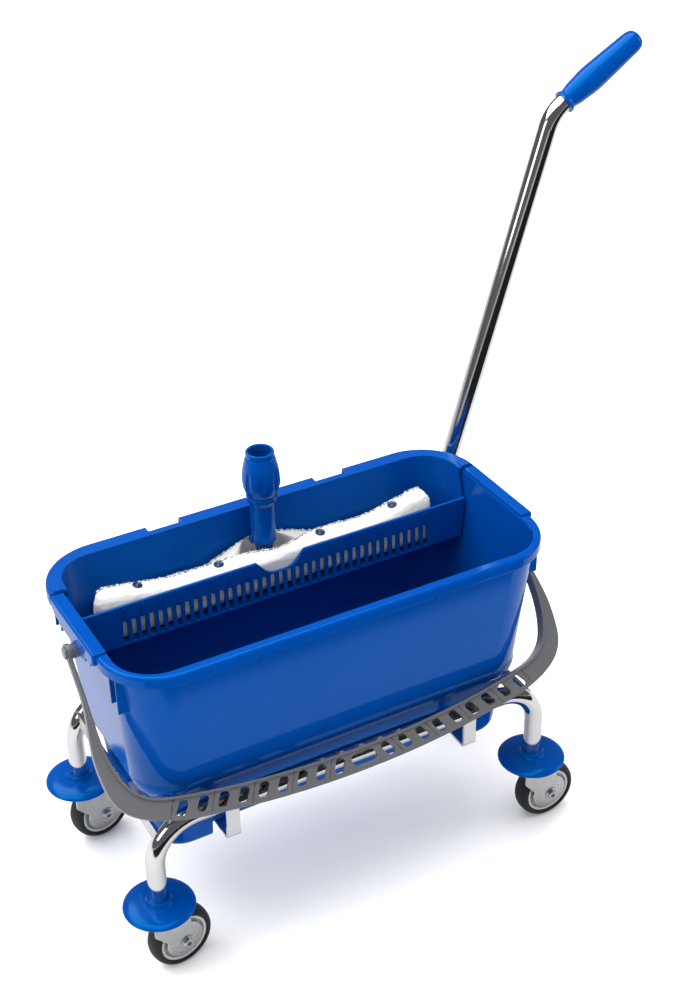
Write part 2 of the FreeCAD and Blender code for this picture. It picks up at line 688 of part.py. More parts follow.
sleeve_r = TUBE_R + SLEEVE_CLEAR + SLEEVE_WALL
sleeve = cyl(sleeve_r, (BASE.x, BASE.y, BASE.z), (UP.x, UP.y, UP.z), SLEEVE_LENGTH + SOCKET_STOP)
bore_at = BASE + UP * (SOCKET_STOP - SLEEVE_CLEAR)
sleeve = sleeve.cut(cyl(TUBE_R + SLEEVE_CLEAR, tuple(bore_at), tuple(UP), SLEEVE_LENGTH + 10))
sleeve = sleeve.cut(fits[LEG_Y])
screw_at = BASE + UP * (SOCKET_STOP + SLEEVE_LENGTH * 0.6)
sleeve = sleeve.cut(cyl(4.0 + WELD_GAP, tuple(screw_at), (0, 1, 0), 40))
parts["handle_socket"] = biggest(sleeve)
y0 = TUBE_R + WELD_GAP + 0.2
y1 = sleeve_r + 0.3
screw = cyl(4.0, (screw_at.x, screw_at.y + y0, screw_at.z), (0, 1, 0), y1 - y0 + 2)
knob = cyl(11.0, (screw_at.x, screw_at.y + y1, screw_at.z), (0, 1, 0), 12.0)
knob = knob.makeFillet(2.0, [e for e in knob.Edges if e.BoundBox.YMin > screw_at.y + y1 + 11.9])
for i in range(6):
    a = math.radians(60 * i)
    knob = knob.cut(cyl(3.2, (screw_at.x + 12.6 * math.cos(a), screw_at.y, screw_at.z + 12.6 * math.sin(a)),
                        (0, 1, 0), 60))
parts["handle_clamp_knob"] = one(screw.fuse(knob))


def grip():
    """Moulded sleeve on the tube end, built along Z and laid on the tube."""
    r0 = TUBE_R + SLEEVE_CLEAR
    big = GRIP_D / 2
    col = GRIP_COLLAR_D / 2
    n = GRIP_LENGTH
    outline = [
        (col, 0), (col - 0.2, 2.5), (col - 1.8, 6.0), (col - 1.2, 11.0), (big - 1.2, 24.0), (big, 38.0),
        (big - 0.3, 56.0), (big - 1.2, 78.0), (big - 2.0, 97.0), (big - 2.6, n - 9.0),
        (big - 4.6, n - 3.4), (big - 8.6, n - 0.5), (0, n),
    ]
    c = Part.BSplineCurve()
    c.interpolate([V(r, 0, z) for r, z in outline[:-1]])
    last = outline[-2]
    e = [c.toShape(), Part.makeLine(V(last[0], 0, last[1]), V(0, 0, n)),
         Part.makeLine(V(0, 0, n), V(0, 0, n - 4.0)), Part.makeLine(V(0, 0, n - 4.0), V(r0, 0, n - 4.0)),
         Part.makeLine(V(r0, 0, n - 4.0), V(r0, 0, 0)), Part.makeLine(V(r0, 0, 0), V(col, 0, 0))]
    g = Part.Face(Part.Wire(e)).revolve(V(0, 0, 0), V(0, 0, 1), 360)
    g.rotate(V(0, 0, 0), V(0, 1, 0), HANDLE_LEAN + HANDLE_BEND)
    g.translate(TIP - OUT * (n - 4.0 - SLEEVE_CLEAR))
    return g


parts["handle_grip"] = one(grip())


# ---- bail handle ----
ARM_X = HL + BAIL_ARM_OUT


def bow(x):
    return BAIL_BOW * (abs(x) / ARM_X) ** 2.06


def both_sides(right):
    """Full outline from the right half, ending on the left."""
    left = [(-x, r) for x, r in reversed(right) if x > 0.001]
    return right + left


R = BAIL_REACH
B = BAIL_BULGE
bail_out = [(ARM_X, 0), (ARM_X, 30), (ARM_X + 0.4, 58), (ARM_X + 0.6 * B, R - 134), (ARM_X + B, R - 108)]
bail_out += [(ARM_X + B - 0.8, R - 82), (ARM_X + 1.5, R - 57), (ARM_X - 8, R - 44), (ARM_X - 20, R - 34.8)]
bail_out += [(ARM_X - 38, R - 26.2)]
bail_out += [(k * (ARM_X - 62) / 5, R - bow(k * (ARM_X - 62) / 5)) for k in (5, 4, 3, 2, 1, 0)]
T = BAIL_ARM_THICK
bail_in = [(ARM_X - T, 0), (ARM_X - T, 36), (ARM_X - T, 62), (ARM_X - T + 0.1, R - 134), (ARM_X - 5.2, R - 110)]
bail_in += [(ARM_X - 9.5, R - 88), (ARM_X - 19, R - 66.5), (ARM_X - 33, R - 53.8), (ARM_X - 52, R - 46.6)]
bail_in += [(ARM_X - 78, R - 41.4)]
bail_in += [(k * (ARM_X - 78) / 5, R - BAIL_BAND - bow(k * (ARM_X - 78) / 5)) for k in (4, 3, 2, 1, 0)]


def curve(points):
    c = Part.BSplineCurve()
    c.interpolate([V(x, -r, 0) for x, r in points])
    return c


def offset_curve(c, d, n=90):
    """Curve moved sideways by d, to the left of its travel."""
    a, b = c.FirstParameter, c.LastParameter
    pts = []
    for i in range(n + 1):
        u = a + (b - a) * i / n
        p = c.value(u)
        g = c.tangent(u)[0]
        pts.append(V(p.x - g.y * d, p.y + g.x * d, 0))
    o = Part.BSplineCurve()
    o.interpolate(pts)
    return o


def band(c1, c2, w0, w1):
    """Solid between two curves, from w0 to w1 across the bail's plane."""
    a0 = c1.value(c1.FirstParameter)
    a1 = c1.value(c1.LastParameter)
    b0 = c2.value(c2.FirstParameter)
    b1 = c2.value(c2.LastParameter)
    e = [c1.toShape(), Part.makeLine(a1, b1), c2.toShape(), Part.makeLine(b0, a0)]
    face = Part.Face(Part.Wire(Part.__sortEdges__(e)))
    face.translate(V(0, 0, w0))
    return face.extrude(V(0, 0, w1 - w0))


def slot_prism(x, r, lean, turn, w0, w1):
    """Slanted slot with rounded corners; turn follows the bow of the crossbar."""
    shift = math.tan(math.radians(lean)) * SLOT_L / 2
    w = SLOT_W / 2
    h = SLOT_L / 2
    corners = [(-w - shift, -h, w0), (w - shift, -h, w0), (w + shift, h, w0), (shift - w, h, w0)]
    s = poly_prism(corners, (0, 0, w1 - w0))
    upright = [e for e in s.Edges if abs(e.Vertexes[0].Z - e.Vertexes[-1].Z) > 1]
    s = s.makeFillet(SLOT_CORNER_R, upright)
    s.rotate(V(0, 0, 0), V(0, 0, 1), turn)
    s.translate(V(x, -r, 0))
    return s


def band_centre(x):
    """Reach of the crossbar's middle line at x."""
    if abs(x) < ARM_X - 78:
        return BAIL_REACH - bow(x) - BAIL_BAND / 2 - 0.6
    return BAIL_REACH - bow(x) - BAIL_BAND / 2 + 0.2


def bail():
    c_out = curve(both_sides(bail_out))
    c_in = curve(both_sides(bail_in))
    half = BAIL_PLATE / 2
    low = BAIL_FLANGE_RISE - BAIL_DEPTH
    body = band(c_out, c_in, -half, half)
    cuts = []
    ribs = []
    pitch = (ARM_X - SLOT_END_GAP - SLOT_FIRST) / (SLOT_COUNT_SIDE - 1)
    spots = [SLOT_FIRST + i * pitch for i in range(SLOT_COUNT_SIDE)]
    for side in (-1, 1):
        for x in spots:
            r = band_centre(x)
            lean_here = math.degrees(math.atan(2.06 * bow(x) / max(x, 1)))
            cuts.append(slot_prism(side * x, r, -side * SLOT_LEAN, side * lean_here, -half - 1, half + 1))
        for i in range(SLOT_COUNT_SIDE):
            x = spots[i] + pitch / 2
            if i % 2:
                ribs.append((side * x, band_centre(x), side * SLOT_LEAN))
                continue
            g = box(-0.8, 0.8, -BAIL_BAND / 2 + 1, BAIL_BAND / 2 - 2, half - 0.9, half + 1)
            g.rotate(V(0, 0, 0), V(0, 0, 1), side * SLOT_LEAN)
            g.translate(V(side * x, -band_centre(x), 0))
            cuts.append(g)
    wide = box(-9, 9, -6.4, 6.4, -half - 1, half + 1)
    for s in (-1, 1):
        wide = wide.fuse(cyl(6.4, (s * 9, 0, -half - 1), (0, 0, 1), BAIL_PLATE + 2))
    wide.translate(V(0, -band_centre(0), 0))
    cuts.append(wide)
    for c in cuts:
        body = body.cut(c)
    rib_low = -half - BAIL_RIB_DEPTH
    for x, r, turn in ribs:
        rib = box(-0.9, 0.9, -BAIL_BAND / 2 + 0.6, BAIL_BAND / 2 - 0.8, rib_low, -half + 0.01)
        rib.rotate(V(0, 0, 0), V(0, 0, 1), turn)
        rib.translate(V(x, -r, 0))
        body = body.fuse(rib)
    inner_edge = band(c_in, offset_curve(c_in, BAIL_FLANGE), low, BAIL_FLANGE_RISE)
    outer_edge = band(c_out, offset_curve(c_out, -BAIL_LIP), half - BAIL_LIP_DEPTH, half)
    body = body.fuse(inner_edge).fuse(outer_edge)
    r_in = BAIL_REACH - BAIL_BAND
    palm = box(-50, 50, -r_in - 2.0, -r_in + 3.0, low, BAIL_FLANGE_RISE)
    for i in range(4):
        x = -36.0 + 24.0 * i
        palm = palm.cut(cyl(15.0, (x, -r_in + 13.2, low - 1), (0, 0, 1), BAIL_DEPTH + 2))
    body = body.fuse(palm)
    gap = 0.3
    for side in (-1, 1):
        eye_x = ARM_X - BAIL_ARM_THICK - EYE_PROUD
        eye = cyl(9.5, (side * eye_x, 0, 0), (side, 0, 0), BAIL_ARM_THICK + 2 * EYE_PROUD)
        hub_x = BOSS_TIP + gap
        boss = cyl(8.0, (side * hub_x, 0, 0), (side, 0, 0), ARM_X - hub_x - 1.3)
        body = body.fuse(eye).fuse(boss)
    for side in (-1, 1):
        body = body.cut(cyl(PIN_HOLE_R, (side * (HL - 10), 0, 0), (side, 0, 0), 40))
    return one(body)


b = bail()
b.rotate(V(0, 0, 0), V(1, 0, 0), BAIL_REST)
b.translate(V(0, 0, PIVOT_Z))
parts["bail_handle"] = b


def bail_pin(side):
    x0 = WALL_TOP_L - wall_in(PIVOT_Z) + 1.5
    head = ARM_X + EYE_PROUD + 0.3
    pin = cyl(PIN_D / 2, (side * x0, 0, PIVOT_Z), (side, 0, 0), head - x0 + 0.5)
    cap = cyl(7.0, (side * head, 0, PIVOT_Z), (side, 0, 0), 2.4)
    cap = cap.makeFillet(1.2, [e for e in cap.Edges if abs(e.BoundBox.XMin + e.BoundBox.XMax) / 2 > head + 2.3])
    return one(pin.fuse(cap))


parts["bail_pins"] = Part.makeCompound([bail_pin(-1), bail_pin(1)])


# ---- sieve insert ----
def tray_sections(inset, z0, z1, r):
    rows = []
    for z in (z0, z1):
        i = wall_in(min(z, RIM_Z)) + BUCKET_WALL + INSERT_CLEAR + inset
        rows.append((WALL_TOP_L - i, WALL_TOP_W - i, r, z))
    return rows


tray_r = WALL_CORNER_R - BUCKET_WALL - INSERT_CLEAR
lip_low = RIM_Z + REST_GAP
lip_top = lip_low + LIP_T
tray = loft(tray_sections(0.0, INSERT_FLOOR_Z, lip_top - 0.5, tray_r))
tray = tray.common(box(-HL, HL, INSERT_FRONT_Y, HW, INSERT_FLOOR_Z - 1, lip_top))
pocket = loft(tray_sections(INSERT_WALL, TRAY_FLOOR_TOP, lip_top + 2, tray_r - INSERT_WALL))
pocket = pocket.common(box(-HL, HL, INSERT_FRONT_Y + INSERT_FRONT_T, HW, INSERT_FLOOR_Z, lip_top + 5))
lip = rr_prism(HL + LIP_OUT, HW + LIP_OUT, RIM_CORNER_R + LIP_OUT, RIM_Z - LIP_DROP, lip_top)
lip_edges = [e for e in lip.Edges if e.BoundBox.ZMin > lip_top - 0.01]
lip = lip.makeFillet(RIM_EDGE_R, lip_edges)
lip = lip.cut(rr_prism(HL + 0.4, HW + 0.4, RIM_CORNER_R + 0.4, RIM_Z - LIP_DROP - 1, lip_low))
lip = lip.common(box(-HL - 9, HL + 9, LIP_FRONT_Y, HW + 9, RIM_Z - LIP_DROP - 2, lip_top + 1))
insert = tray.fuse(lip)
for j in range(-(SIEVE_SLOTS // 4), SIEVE_SLOTS // 4 + 1):
    x = j * 2 * SIEVE_PITCH
    rib = box(x - SIEVE_RIB_T / 2, x + SIEVE_RIB_T / 2, INSERT_FRONT_Y - 1.5, INSERT_FRONT_Y + 1,
              SIEVE_SLOT_LOW, INSERT_FRONT_TOP_Z - 2.5)
    insert = insert.fuse(rib)
for side in (-1, 1):
    x0 = WALL_TOP_L - 3.0
    tab = box(x0, HL - 1.5, LIP_FRONT_Y, LIP_FRONT_Y + 11.0, lip_top - 1, lip_top + 1.8)
    insert = insert.fuse(tab if side > 0 else mirror_x(tab))
insert = insert.cut(pocket)
y0 = INSERT_FRONT_Y
slope = [(-HL, y0 - 3, INSERT_FRONT_TOP_Z), (-HL, y0 + INSERT_FRONT_T + 1.5, INSERT_FRONT_TOP_Z),
         (-HL, LIP_FRONT_Y + 0.2, lip_low - 6.0), (-HL, LIP_FRONT_Y + 0.2, lip_top + 4), (-HL, y0 - 3, lip_top + 4)]
keep_out = poly_prism(slope, (2 * HL, 0, 0)).cut(
    box(-HL, HL, LIP_FRONT_Y, LIP_FRONT_Y + 1, lip_low - 7, lip_top + 5))
insert = insert.cut(keep_out)
dip = [(-DIP_HALF - 6, 4), (-DIP_HALF, 0), (-DIP_HALF * 0.8, -DIP_DEPTH * 0.38), (-DIP_HALF * 0.46, -DIP_DEPTH * 0.88)]
dip += [(0, -DIP_DEPTH), (DIP_HALF * 0.46, -DIP_DEPTH * 0.88), (DIP_HALF * 0.8, -DIP_DEPTH * 0.38)]
dip += [(DIP_HALF, 0), (DIP_HALF + 6, 4)]
dip_curve = spline_edge([(x, y0 - 4, INSERT_FRONT_TOP_Z + z) for x, z in dip])
dip_lid = Part.makeLine(V(DIP_HALF + 6, y0 - 4, INSERT_FRONT_TOP_Z + 4), V(-DIP_HALF - 6, y0 - 4, INSERT_FRONT_TOP_Z + 4))
dip_cut = Part.Face(Part.Wire([dip_curve, dip_lid])).extrude(V(0, INSERT_FRONT_T + 5, 0))
insert = insert.cut(dip_cut)
holes = []
for j in range(SIEVE_SLOTS):
    x = (j - (SIEVE_SLOTS - 1) / 2) * SIEVE_PITCH
    w = SIEVE_SLOT_W / 2
    holes.append(box(x - w, x + w, y0 - 3, y0 + INSERT_FRONT_T + 1, SIEVE_SLOT_LOW, SIEVE_SLOT_TOP))
    for a, c in FLOOR_SLOTS:
        holes.append(box(x - w, x + w, y0 + a, y0 + c, INSERT_FLOOR_Z - 2, TRAY_FLOOR_TOP + 1))
for side in (-1, 1):
    holes.append(lip_gap(side, 0.0))
insert = insert.cut(Part.makeCompound(holes))
parts["sieve_insert"] = one(insert)


# ---- mop head in the tray ----
def strip_outline(y, top):
    """Closed XZ outline of a folded mop strip; top holds (distance from the end, height) pairs."""
    h = MOP_LENGTH / 2
    low = [(-h, y, MOP_LOW_Z + 8), (-h + 10, y, MOP_LOW_Z), (h - 10, y, MOP_LOW_Z), (h, y, MOP_LOW_Z + 8)]
    right = [(h - d, y, z) for d, z in top]
    left = [(d - h, y, z) for d, z in reversed(top)]
    return low + right + left


def soft_strip(y, thick, top):
    return poly_prism(strip_outline(y - thick / 2, top), (0, thick, 0))


front_top = [(0, STRIP_TOP_Z + STRIP_END_RISE - 8), (9, STRIP_TOP_Z + STRIP_END_RISE),
             (34, STRIP_TOP_Z + STRIP_END_RISE * 0.75), (76, STRIP_TOP_Z + STRIP_END_RISE * 0.2), (116, STRIP_TOP_Z)]
back_low = STRIP_TOP_Z - BACK_END_DROP
back_top = [(0, back_low - 8), (9, back_low), (116, back_low), (158, STRIP_TOP_Z - 2.5)]
front = soft_strip(STRIP_FRONT_Y, STRIP_FRONT_T, front_top)
back = soft_strip(STRIP_BACK_Y, STRIP_BACK_T, back_top)
for s in (-1, 1):
    end = s * MOP_LENGTH / 2
    rear = STRIP_BACK_Y + STRIP_BACK_T / 2
    corner = [(end - s * BACK_CORNER, rear, MOP_LOW_Z - 1), (end, rear - BACK_CORNER, MOP_LOW_Z - 1),
              (end + s * 9, rear + 9, MOP_LOW_Z - 1)]
    back = back.cut(poly_prism(corner, (0, 0, STRIP_TOP_Z + 30 - MOP_LOW_Z)))
room_y0 = SOCKET_Y - SOCKET_D / 2 - SOCKET_ROOM_FRONT
room_y1 = SOCKET_Y + SOCKET_D / 2 + SOCKET_ROOM_BACK
clear = box(-NOTCH_HALF, NOTCH_HALF, room_y0, room_y1, MOP_LOW_Z - 1, STRIP_TOP_Z + 30)
under = box(-HUB_LENGTH / 2 - 1, HUB_LENGTH / 2 + 1, STRIP_FRONT_Y - 8, STRIP_BACK_Y + 8.6, MOP_LOW_Z - 1, HUB_TOP_Z + 1)
tray_wall = loft(tray_sections(INSERT_WALL + SOFT_GAP, TRAY_FLOOR_TOP, lip_top + 2, tray_r - INSERT_WALL))


def wing(y, top):
    """Stiff plate in the cover's pocket, with a hinge barrel at each end of the hub."""
    h = WING_LENGTH / 2
    t = WING_THICK
    w = box(-h, h, y - t / 2, y + t / 2, HINGE_Z, top)
    w = w.cut(box(-NOTCH_HALF - 1, NOTCH_HALF + 1, y - 9, y + 9, HINGE_Z - 9, top + 1))
    pieces = []
    for s in (-1, 1):
        x0 = HUB_LENGTH / 2 + 0.6
        pieces.append(cyl(HINGE_BARREL_D / 2, (s * x0, y, HINGE_Z), (s, 0, 0), 22.0))
    rail = box(-NOTCH_HALF - 4, NOTCH_HALF + 4, y - t / 2, y + t / 2, HUB_TOP_Z + 1.2, HUB_TOP_Z + 6.0)
    for p in pieces:
        w = w.fuse(p)
    w = w.fuse(rail)
    for s in (-1, 1):
        w = w.cut(cyl(HINGE_PIN_D / 2 + RUN_CLEAR, (s * HUB_LENGTH / 2, y, HINGE_Z), (s, 0, 0), 20.0))
    return one(w)


def sleeve_room(y, top):
    """Pocket in a soft strip around its wing."""
    h = WING_LENGTH / 2 + 1.0
    t = WING_THICK / 2 + SOFT_GAP
    room = box(-h, h, y - t, y + t, HINGE_Z - 0.5, top + SOFT_GAP)
    for s in (-1, 1):
        room = room.fuse(cyl(HINGE_BARREL_D / 2 + SOFT_GAP, (s * HUB_LENGTH / 2, y, HINGE_Z), (s, 0, 0), 24.0))
    return room


wing_front_y = STRIP_FRONT_Y + 1.0
wing_back_y = STRIP_BACK_Y + 3.0
WING_BACK_TOP_Z = WING_TOP_Z - BACK_END_DROP
halves = (("front", wing_front_y, WING_TOP_Z, front), ("back", wing_back_y, WING_BACK_TOP_Z, back))
for name, y, top, strip in halves:
    soft = strip.cut(clear).cut(under).cut(sleeve_room(y, top)).common(tray_wall)
    parts["mop_cover_" + name] = biggest(soft)
    parts["wing_" + name] = wing(y, top)
pins = []
for y in (wing_front_y, wing_back_y):
    length = HUB_LENGTH + 38.0
    pins.append(cyl(HINGE_PIN_D / 2, (-length / 2, y, HINGE_Z), (1, 0, 0), length))
parts["wing_pins"] = Part.makeCompound(pins)


def mop_hub():
    """Centre block between the wings, with two ears for the tilting joint."""
    body = box(-HUB_LENGTH / 2, HUB_LENGTH / 2, wing_front_y - 5.5, wing_back_y + 5.5, MOP_LOW_Z, HUB_TOP_Z)
    for s in (-1, 1):
        ear = box(s * 13.5 - 3, s * 13.5 + 3, SOCKET_Y - 7, SOCKET_Y + 7, HUB_TOP_Z - 2, TILT_LOW_Z)
        ear = ear.fuse(cyl(7.0, (s * 13.5 - 3, SOCKET_Y, TILT_LOW_Z), (1, 0, 0), 6.0))
        body = body.fuse(ear)
    body = body.cut(cyl(TILT_PIN_D / 2 + RUN_CLEAR, (-20, SOCKET_Y, TILT_LOW_Z), (1, 0, 0), 40))
    body = body.cut(cyl(8.6, (-10.0, SOCKET_Y, TILT_LOW_Z), (1, 0, 0), 20.0))
    for y in (wing_front_y, wing_back_y):
        body = body.cut(cyl(HINGE_PIN_D / 2 + RUN_CLEAR, (-HUB_LENGTH, y, HINGE_Z), (1, 0, 0), 2 * HUB_LENGTH))
    return one(body)


def yoke():
    """Cross piece: pin along X below, pin along Y above."""
    body = box(-7.6, 7.6, SOCKET_Y - YOKE_HALF, SOCKET_Y + YOKE_HALF, TILT_LOW_Z - 4, TILT_HIGH_Z)
    body = body.fuse(cyl(6.0, (-10.0, SOCKET_Y, TILT_LOW_Z), (1, 0, 0), 20.0))
    body = body.fuse(cyl(6.2, (0, SOCKET_Y - YOKE_HALF, TILT_HIGH_Z), (0, 1, 0), 2 * YOKE_HALF))
    body = body.cut(cyl(TILT_PIN_D / 2 + RUN_CLEAR, (-20, SOCKET_Y, TILT_LOW_Z), (1, 0, 0), 40))
    body = body.cut(cyl(TILT_PIN_D / 2 + RUN_CLEAR, (0, SOCKET_Y - 20, TILT_HIGH_Z), (0, 1, 0), 40))
    return one(body)


def mop_socket():
    """Tube for the mop pole, with two ears at its foot and a collar for the nut."""
    r = SOCKET_D / 2
    b = SOCKET_BORE / 2
    outline = [
        (0, SOCKET_BASE_Z), (r - SOCKET_CHAMFER, SOCKET_BASE_Z), (r, SOCKET_BASE_Z + 2 * SOCKET_CHAMFER),
        (r, COLLAR_Z - 3.0),
        (r + 0.9, COLLAR_Z - 2.4), (COLLAR_D / 2 - 1.0, COLLAR_Z + 1.5), (COLLAR_D / 2, COLLAR_Z + 3.0),
        (COLLAR_D / 2, NUT_LOW_Z - 1.6), (COLLAR_D / 2 - 1.0, NUT_LOW_Z - 0.4), (r + 0.4, NUT_LOW_Z - 0.4),
        (r + 0.4, NUT_LOW_Z + 16.0), (r - 0.2, NUT_LOW_Z + 17.0), (r - 0.2, SOCKET_TOP_Z),
        (b, SOCKET_TOP_Z), (b, SOCKET_BASE_Z + 9.0), (0, SOCKET_BASE_Z + 9.0),
    ]
    body = revolve(outline, (0, SOCKET_Y, 0))
    for s in (-1, 1):
        y = SOCKET_Y + s * (YOKE_HALF + EAR_GAP + EAR_T / 2)
        ear = box(-6.5, 6.5, y - EAR_T / 2, y + EAR_T / 2, TILT_HIGH_Z, SOCKET_BASE_Z + 3.0)
        ear = ear.fuse(cyl(6.5, (0, y - EAR_T / 2, TILT_HIGH_Z), (0, 1, 0), EAR_T))
        body = body.fuse(ear)
    hook = poly_prism([(-r - 2.6, SOCKET_Y - 2, SOCKET_BASE_Z + 7), (-r + 2, SOCKET_Y - 2, SOCKET_BASE_Z + 7),
                       (-r + 2, SOCKET_Y - 2, SOCKET_BASE_Z + 19), (-r - 0.2, SOCKET_Y - 2, SOCKET_BASE_Z + 17),
                       (-r - 2.6, SOCKET_Y - 2, SOCKET_BASE_Z + 11)], (0, 4, 0))
    body = body.fuse(hook.cut(cyl(b + 0.5, (0, SOCKET_Y, SOCKET_BASE_Z), (0, 0, 1), 40)))
    body = body.cut(cyl(TILT_PIN_D / 2 + RUN_CLEAR, (0, SOCKET_Y - 20, TILT_HIGH_Z), (0, 1, 0), 40))
    return one(body)


def clamp_nut():
    """Fluted barrel nut around the top of the socket."""
    inner = SOCKET_D / 2 + 0.4 + RUN_CLEAR
    m = NUT_MAX_D / 2
    outline = [
        (inner, NUT_LOW_Z), (m - 5.4, NUT_LOW_Z), (m - 4.4, NUT_LOW_Z + 1.0), (m - 2.8, NUT_LOW_Z + 5.0),
        (m - 0.6, NUT_LOW_Z + 12.0), (m, NUT_LOW_Z + 19.0), (m - 0.5, NUT_LOW_Z + 27.0),
        (m - 2.0, NUT_LOW_Z + 36.0), (NUT_TOP_D / 2 + 1.0, NUT_TOP_Z - 8.0), (NUT_TOP_D / 2, NUT_TOP_Z - 6.6),
        (NUT_TOP_D / 2, NUT_TOP_Z - 1.0), (NUT_TOP_D / 2 - 0.9, NUT_TOP_Z), (NUT_MOUTH_D / 2 + 0.8, NUT_TOP_Z),
        (NUT_MOUTH_D / 2, NUT_TOP_Z - 1.2), (NUT_MOUTH_D / 2, SOCKET_TOP_Z + 1.0), (inner, SOCKET_TOP_Z + 1.0),
    ]
    body = revolve(outline, (0, SOCKET_Y, 0))
    for i in range(NUT_FLUTES):
        a = 2 * math.pi * (i + 0.5) / NUT_FLUTES
        x = (m + 5.2) * math.cos(a)
        y = SOCKET_Y + (m + 5.2) * math.sin(a)
        body = body.cut(cyl(7.0, (x, y, NUT_LOW_Z + 5.0), (0, 0, 1), NUT_TOP_Z - NUT_LOW_Z - 14.0))
    return one(body)


parts["mop_hub"] = mop_hub()
parts["tilt_yoke"] = yoke()
parts["mop_socket"] = mop_socket()
parts["socket_clamp_nut"] = clamp_nut()
parts["yoke_pin"] = cyl(TILT_PIN_D / 2, (-16.4, SOCKET_Y, TILT_LOW_Z), (1, 0, 0), 32.8)
PIN_HALF = YOKE_HALF + EAR_GAP + EAR_T - 0.2
parts["socket_pin"] = cyl(TILT_PIN_D / 2, (0, SOCKET_Y - PIN_HALF, TILT_HIGH_Z), (0, 1, 0), 2 * PIN_HALF)


# ---- put the origin under the middle of the whole ----
def extent(shapes):
    boxes = [s.optimalBoundingBox(False, False) for s in shapes]
    lo = V(min(q.XMin for q in boxes), min(q.YMin for q in boxes), min(q.ZMin for q in boxes))
    hi = V(max(q.XMax for q in boxes), max(q.YMax for q in boxes), max(q.ZMax for q in boxes))
    return lo, hi


lo, hi = extent(parts.values())
shift = V(-(lo.x + hi.x) / 2, -(lo.y + hi.y) / 2, -lo.z)
for name, shape in parts.items():
    shape.translate(shift)
    shape.exportStep("parts/%s.step" % name)
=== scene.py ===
"""Wheeled flat mop bucket: finishes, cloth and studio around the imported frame."""

import json
import math
import random

import bmesh
import bpy
from bpy.props import FloatProperty, FloatVectorProperty, IntProperty, PointerProperty
from mathutils import Matrix, Vector, noise
from mathutils.bvhtree import BVHTree


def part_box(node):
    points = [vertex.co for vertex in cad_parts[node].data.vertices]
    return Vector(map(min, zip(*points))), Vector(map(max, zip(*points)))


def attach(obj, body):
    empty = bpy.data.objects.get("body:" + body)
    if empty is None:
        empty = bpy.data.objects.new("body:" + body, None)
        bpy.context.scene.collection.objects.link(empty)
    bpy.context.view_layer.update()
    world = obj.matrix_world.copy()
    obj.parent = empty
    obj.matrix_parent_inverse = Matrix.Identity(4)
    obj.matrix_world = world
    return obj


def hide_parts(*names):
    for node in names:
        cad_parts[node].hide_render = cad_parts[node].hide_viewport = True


bl_info = {
    "name": "Wheeled Flat Mop Bucket",
    "version": (1, 0, 0),
    "blender": (4, 5, 0),
    "location": "3D View > Sidebar > Mop Bucket",
    "description": "Finishes, mop cover and studio for a wheeled flat mop bucket",
    "category": "Object",
}

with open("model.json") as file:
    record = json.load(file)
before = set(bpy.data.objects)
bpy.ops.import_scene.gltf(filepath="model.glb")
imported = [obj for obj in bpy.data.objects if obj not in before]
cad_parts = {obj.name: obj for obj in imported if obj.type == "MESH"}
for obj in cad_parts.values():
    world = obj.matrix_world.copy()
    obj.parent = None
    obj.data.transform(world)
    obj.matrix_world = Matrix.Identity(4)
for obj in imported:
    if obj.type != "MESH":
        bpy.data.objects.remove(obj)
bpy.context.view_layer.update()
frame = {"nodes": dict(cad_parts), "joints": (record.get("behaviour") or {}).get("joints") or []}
BUCKET_LOW, BUCKET_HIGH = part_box("bucket")
FRONT_LOW, FRONT_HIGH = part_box("mop_cover_front")
BACK_LOW, BACK_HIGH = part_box("mop_cover_back")
POLE = sum(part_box("mop_socket"), Vector()) / 2
MID_X = (BUCKET_LOW.x + BUCKET_HIGH.x) / 2
MM = 0.001
CORNERS = ("fl", "fr", "bl", "br")


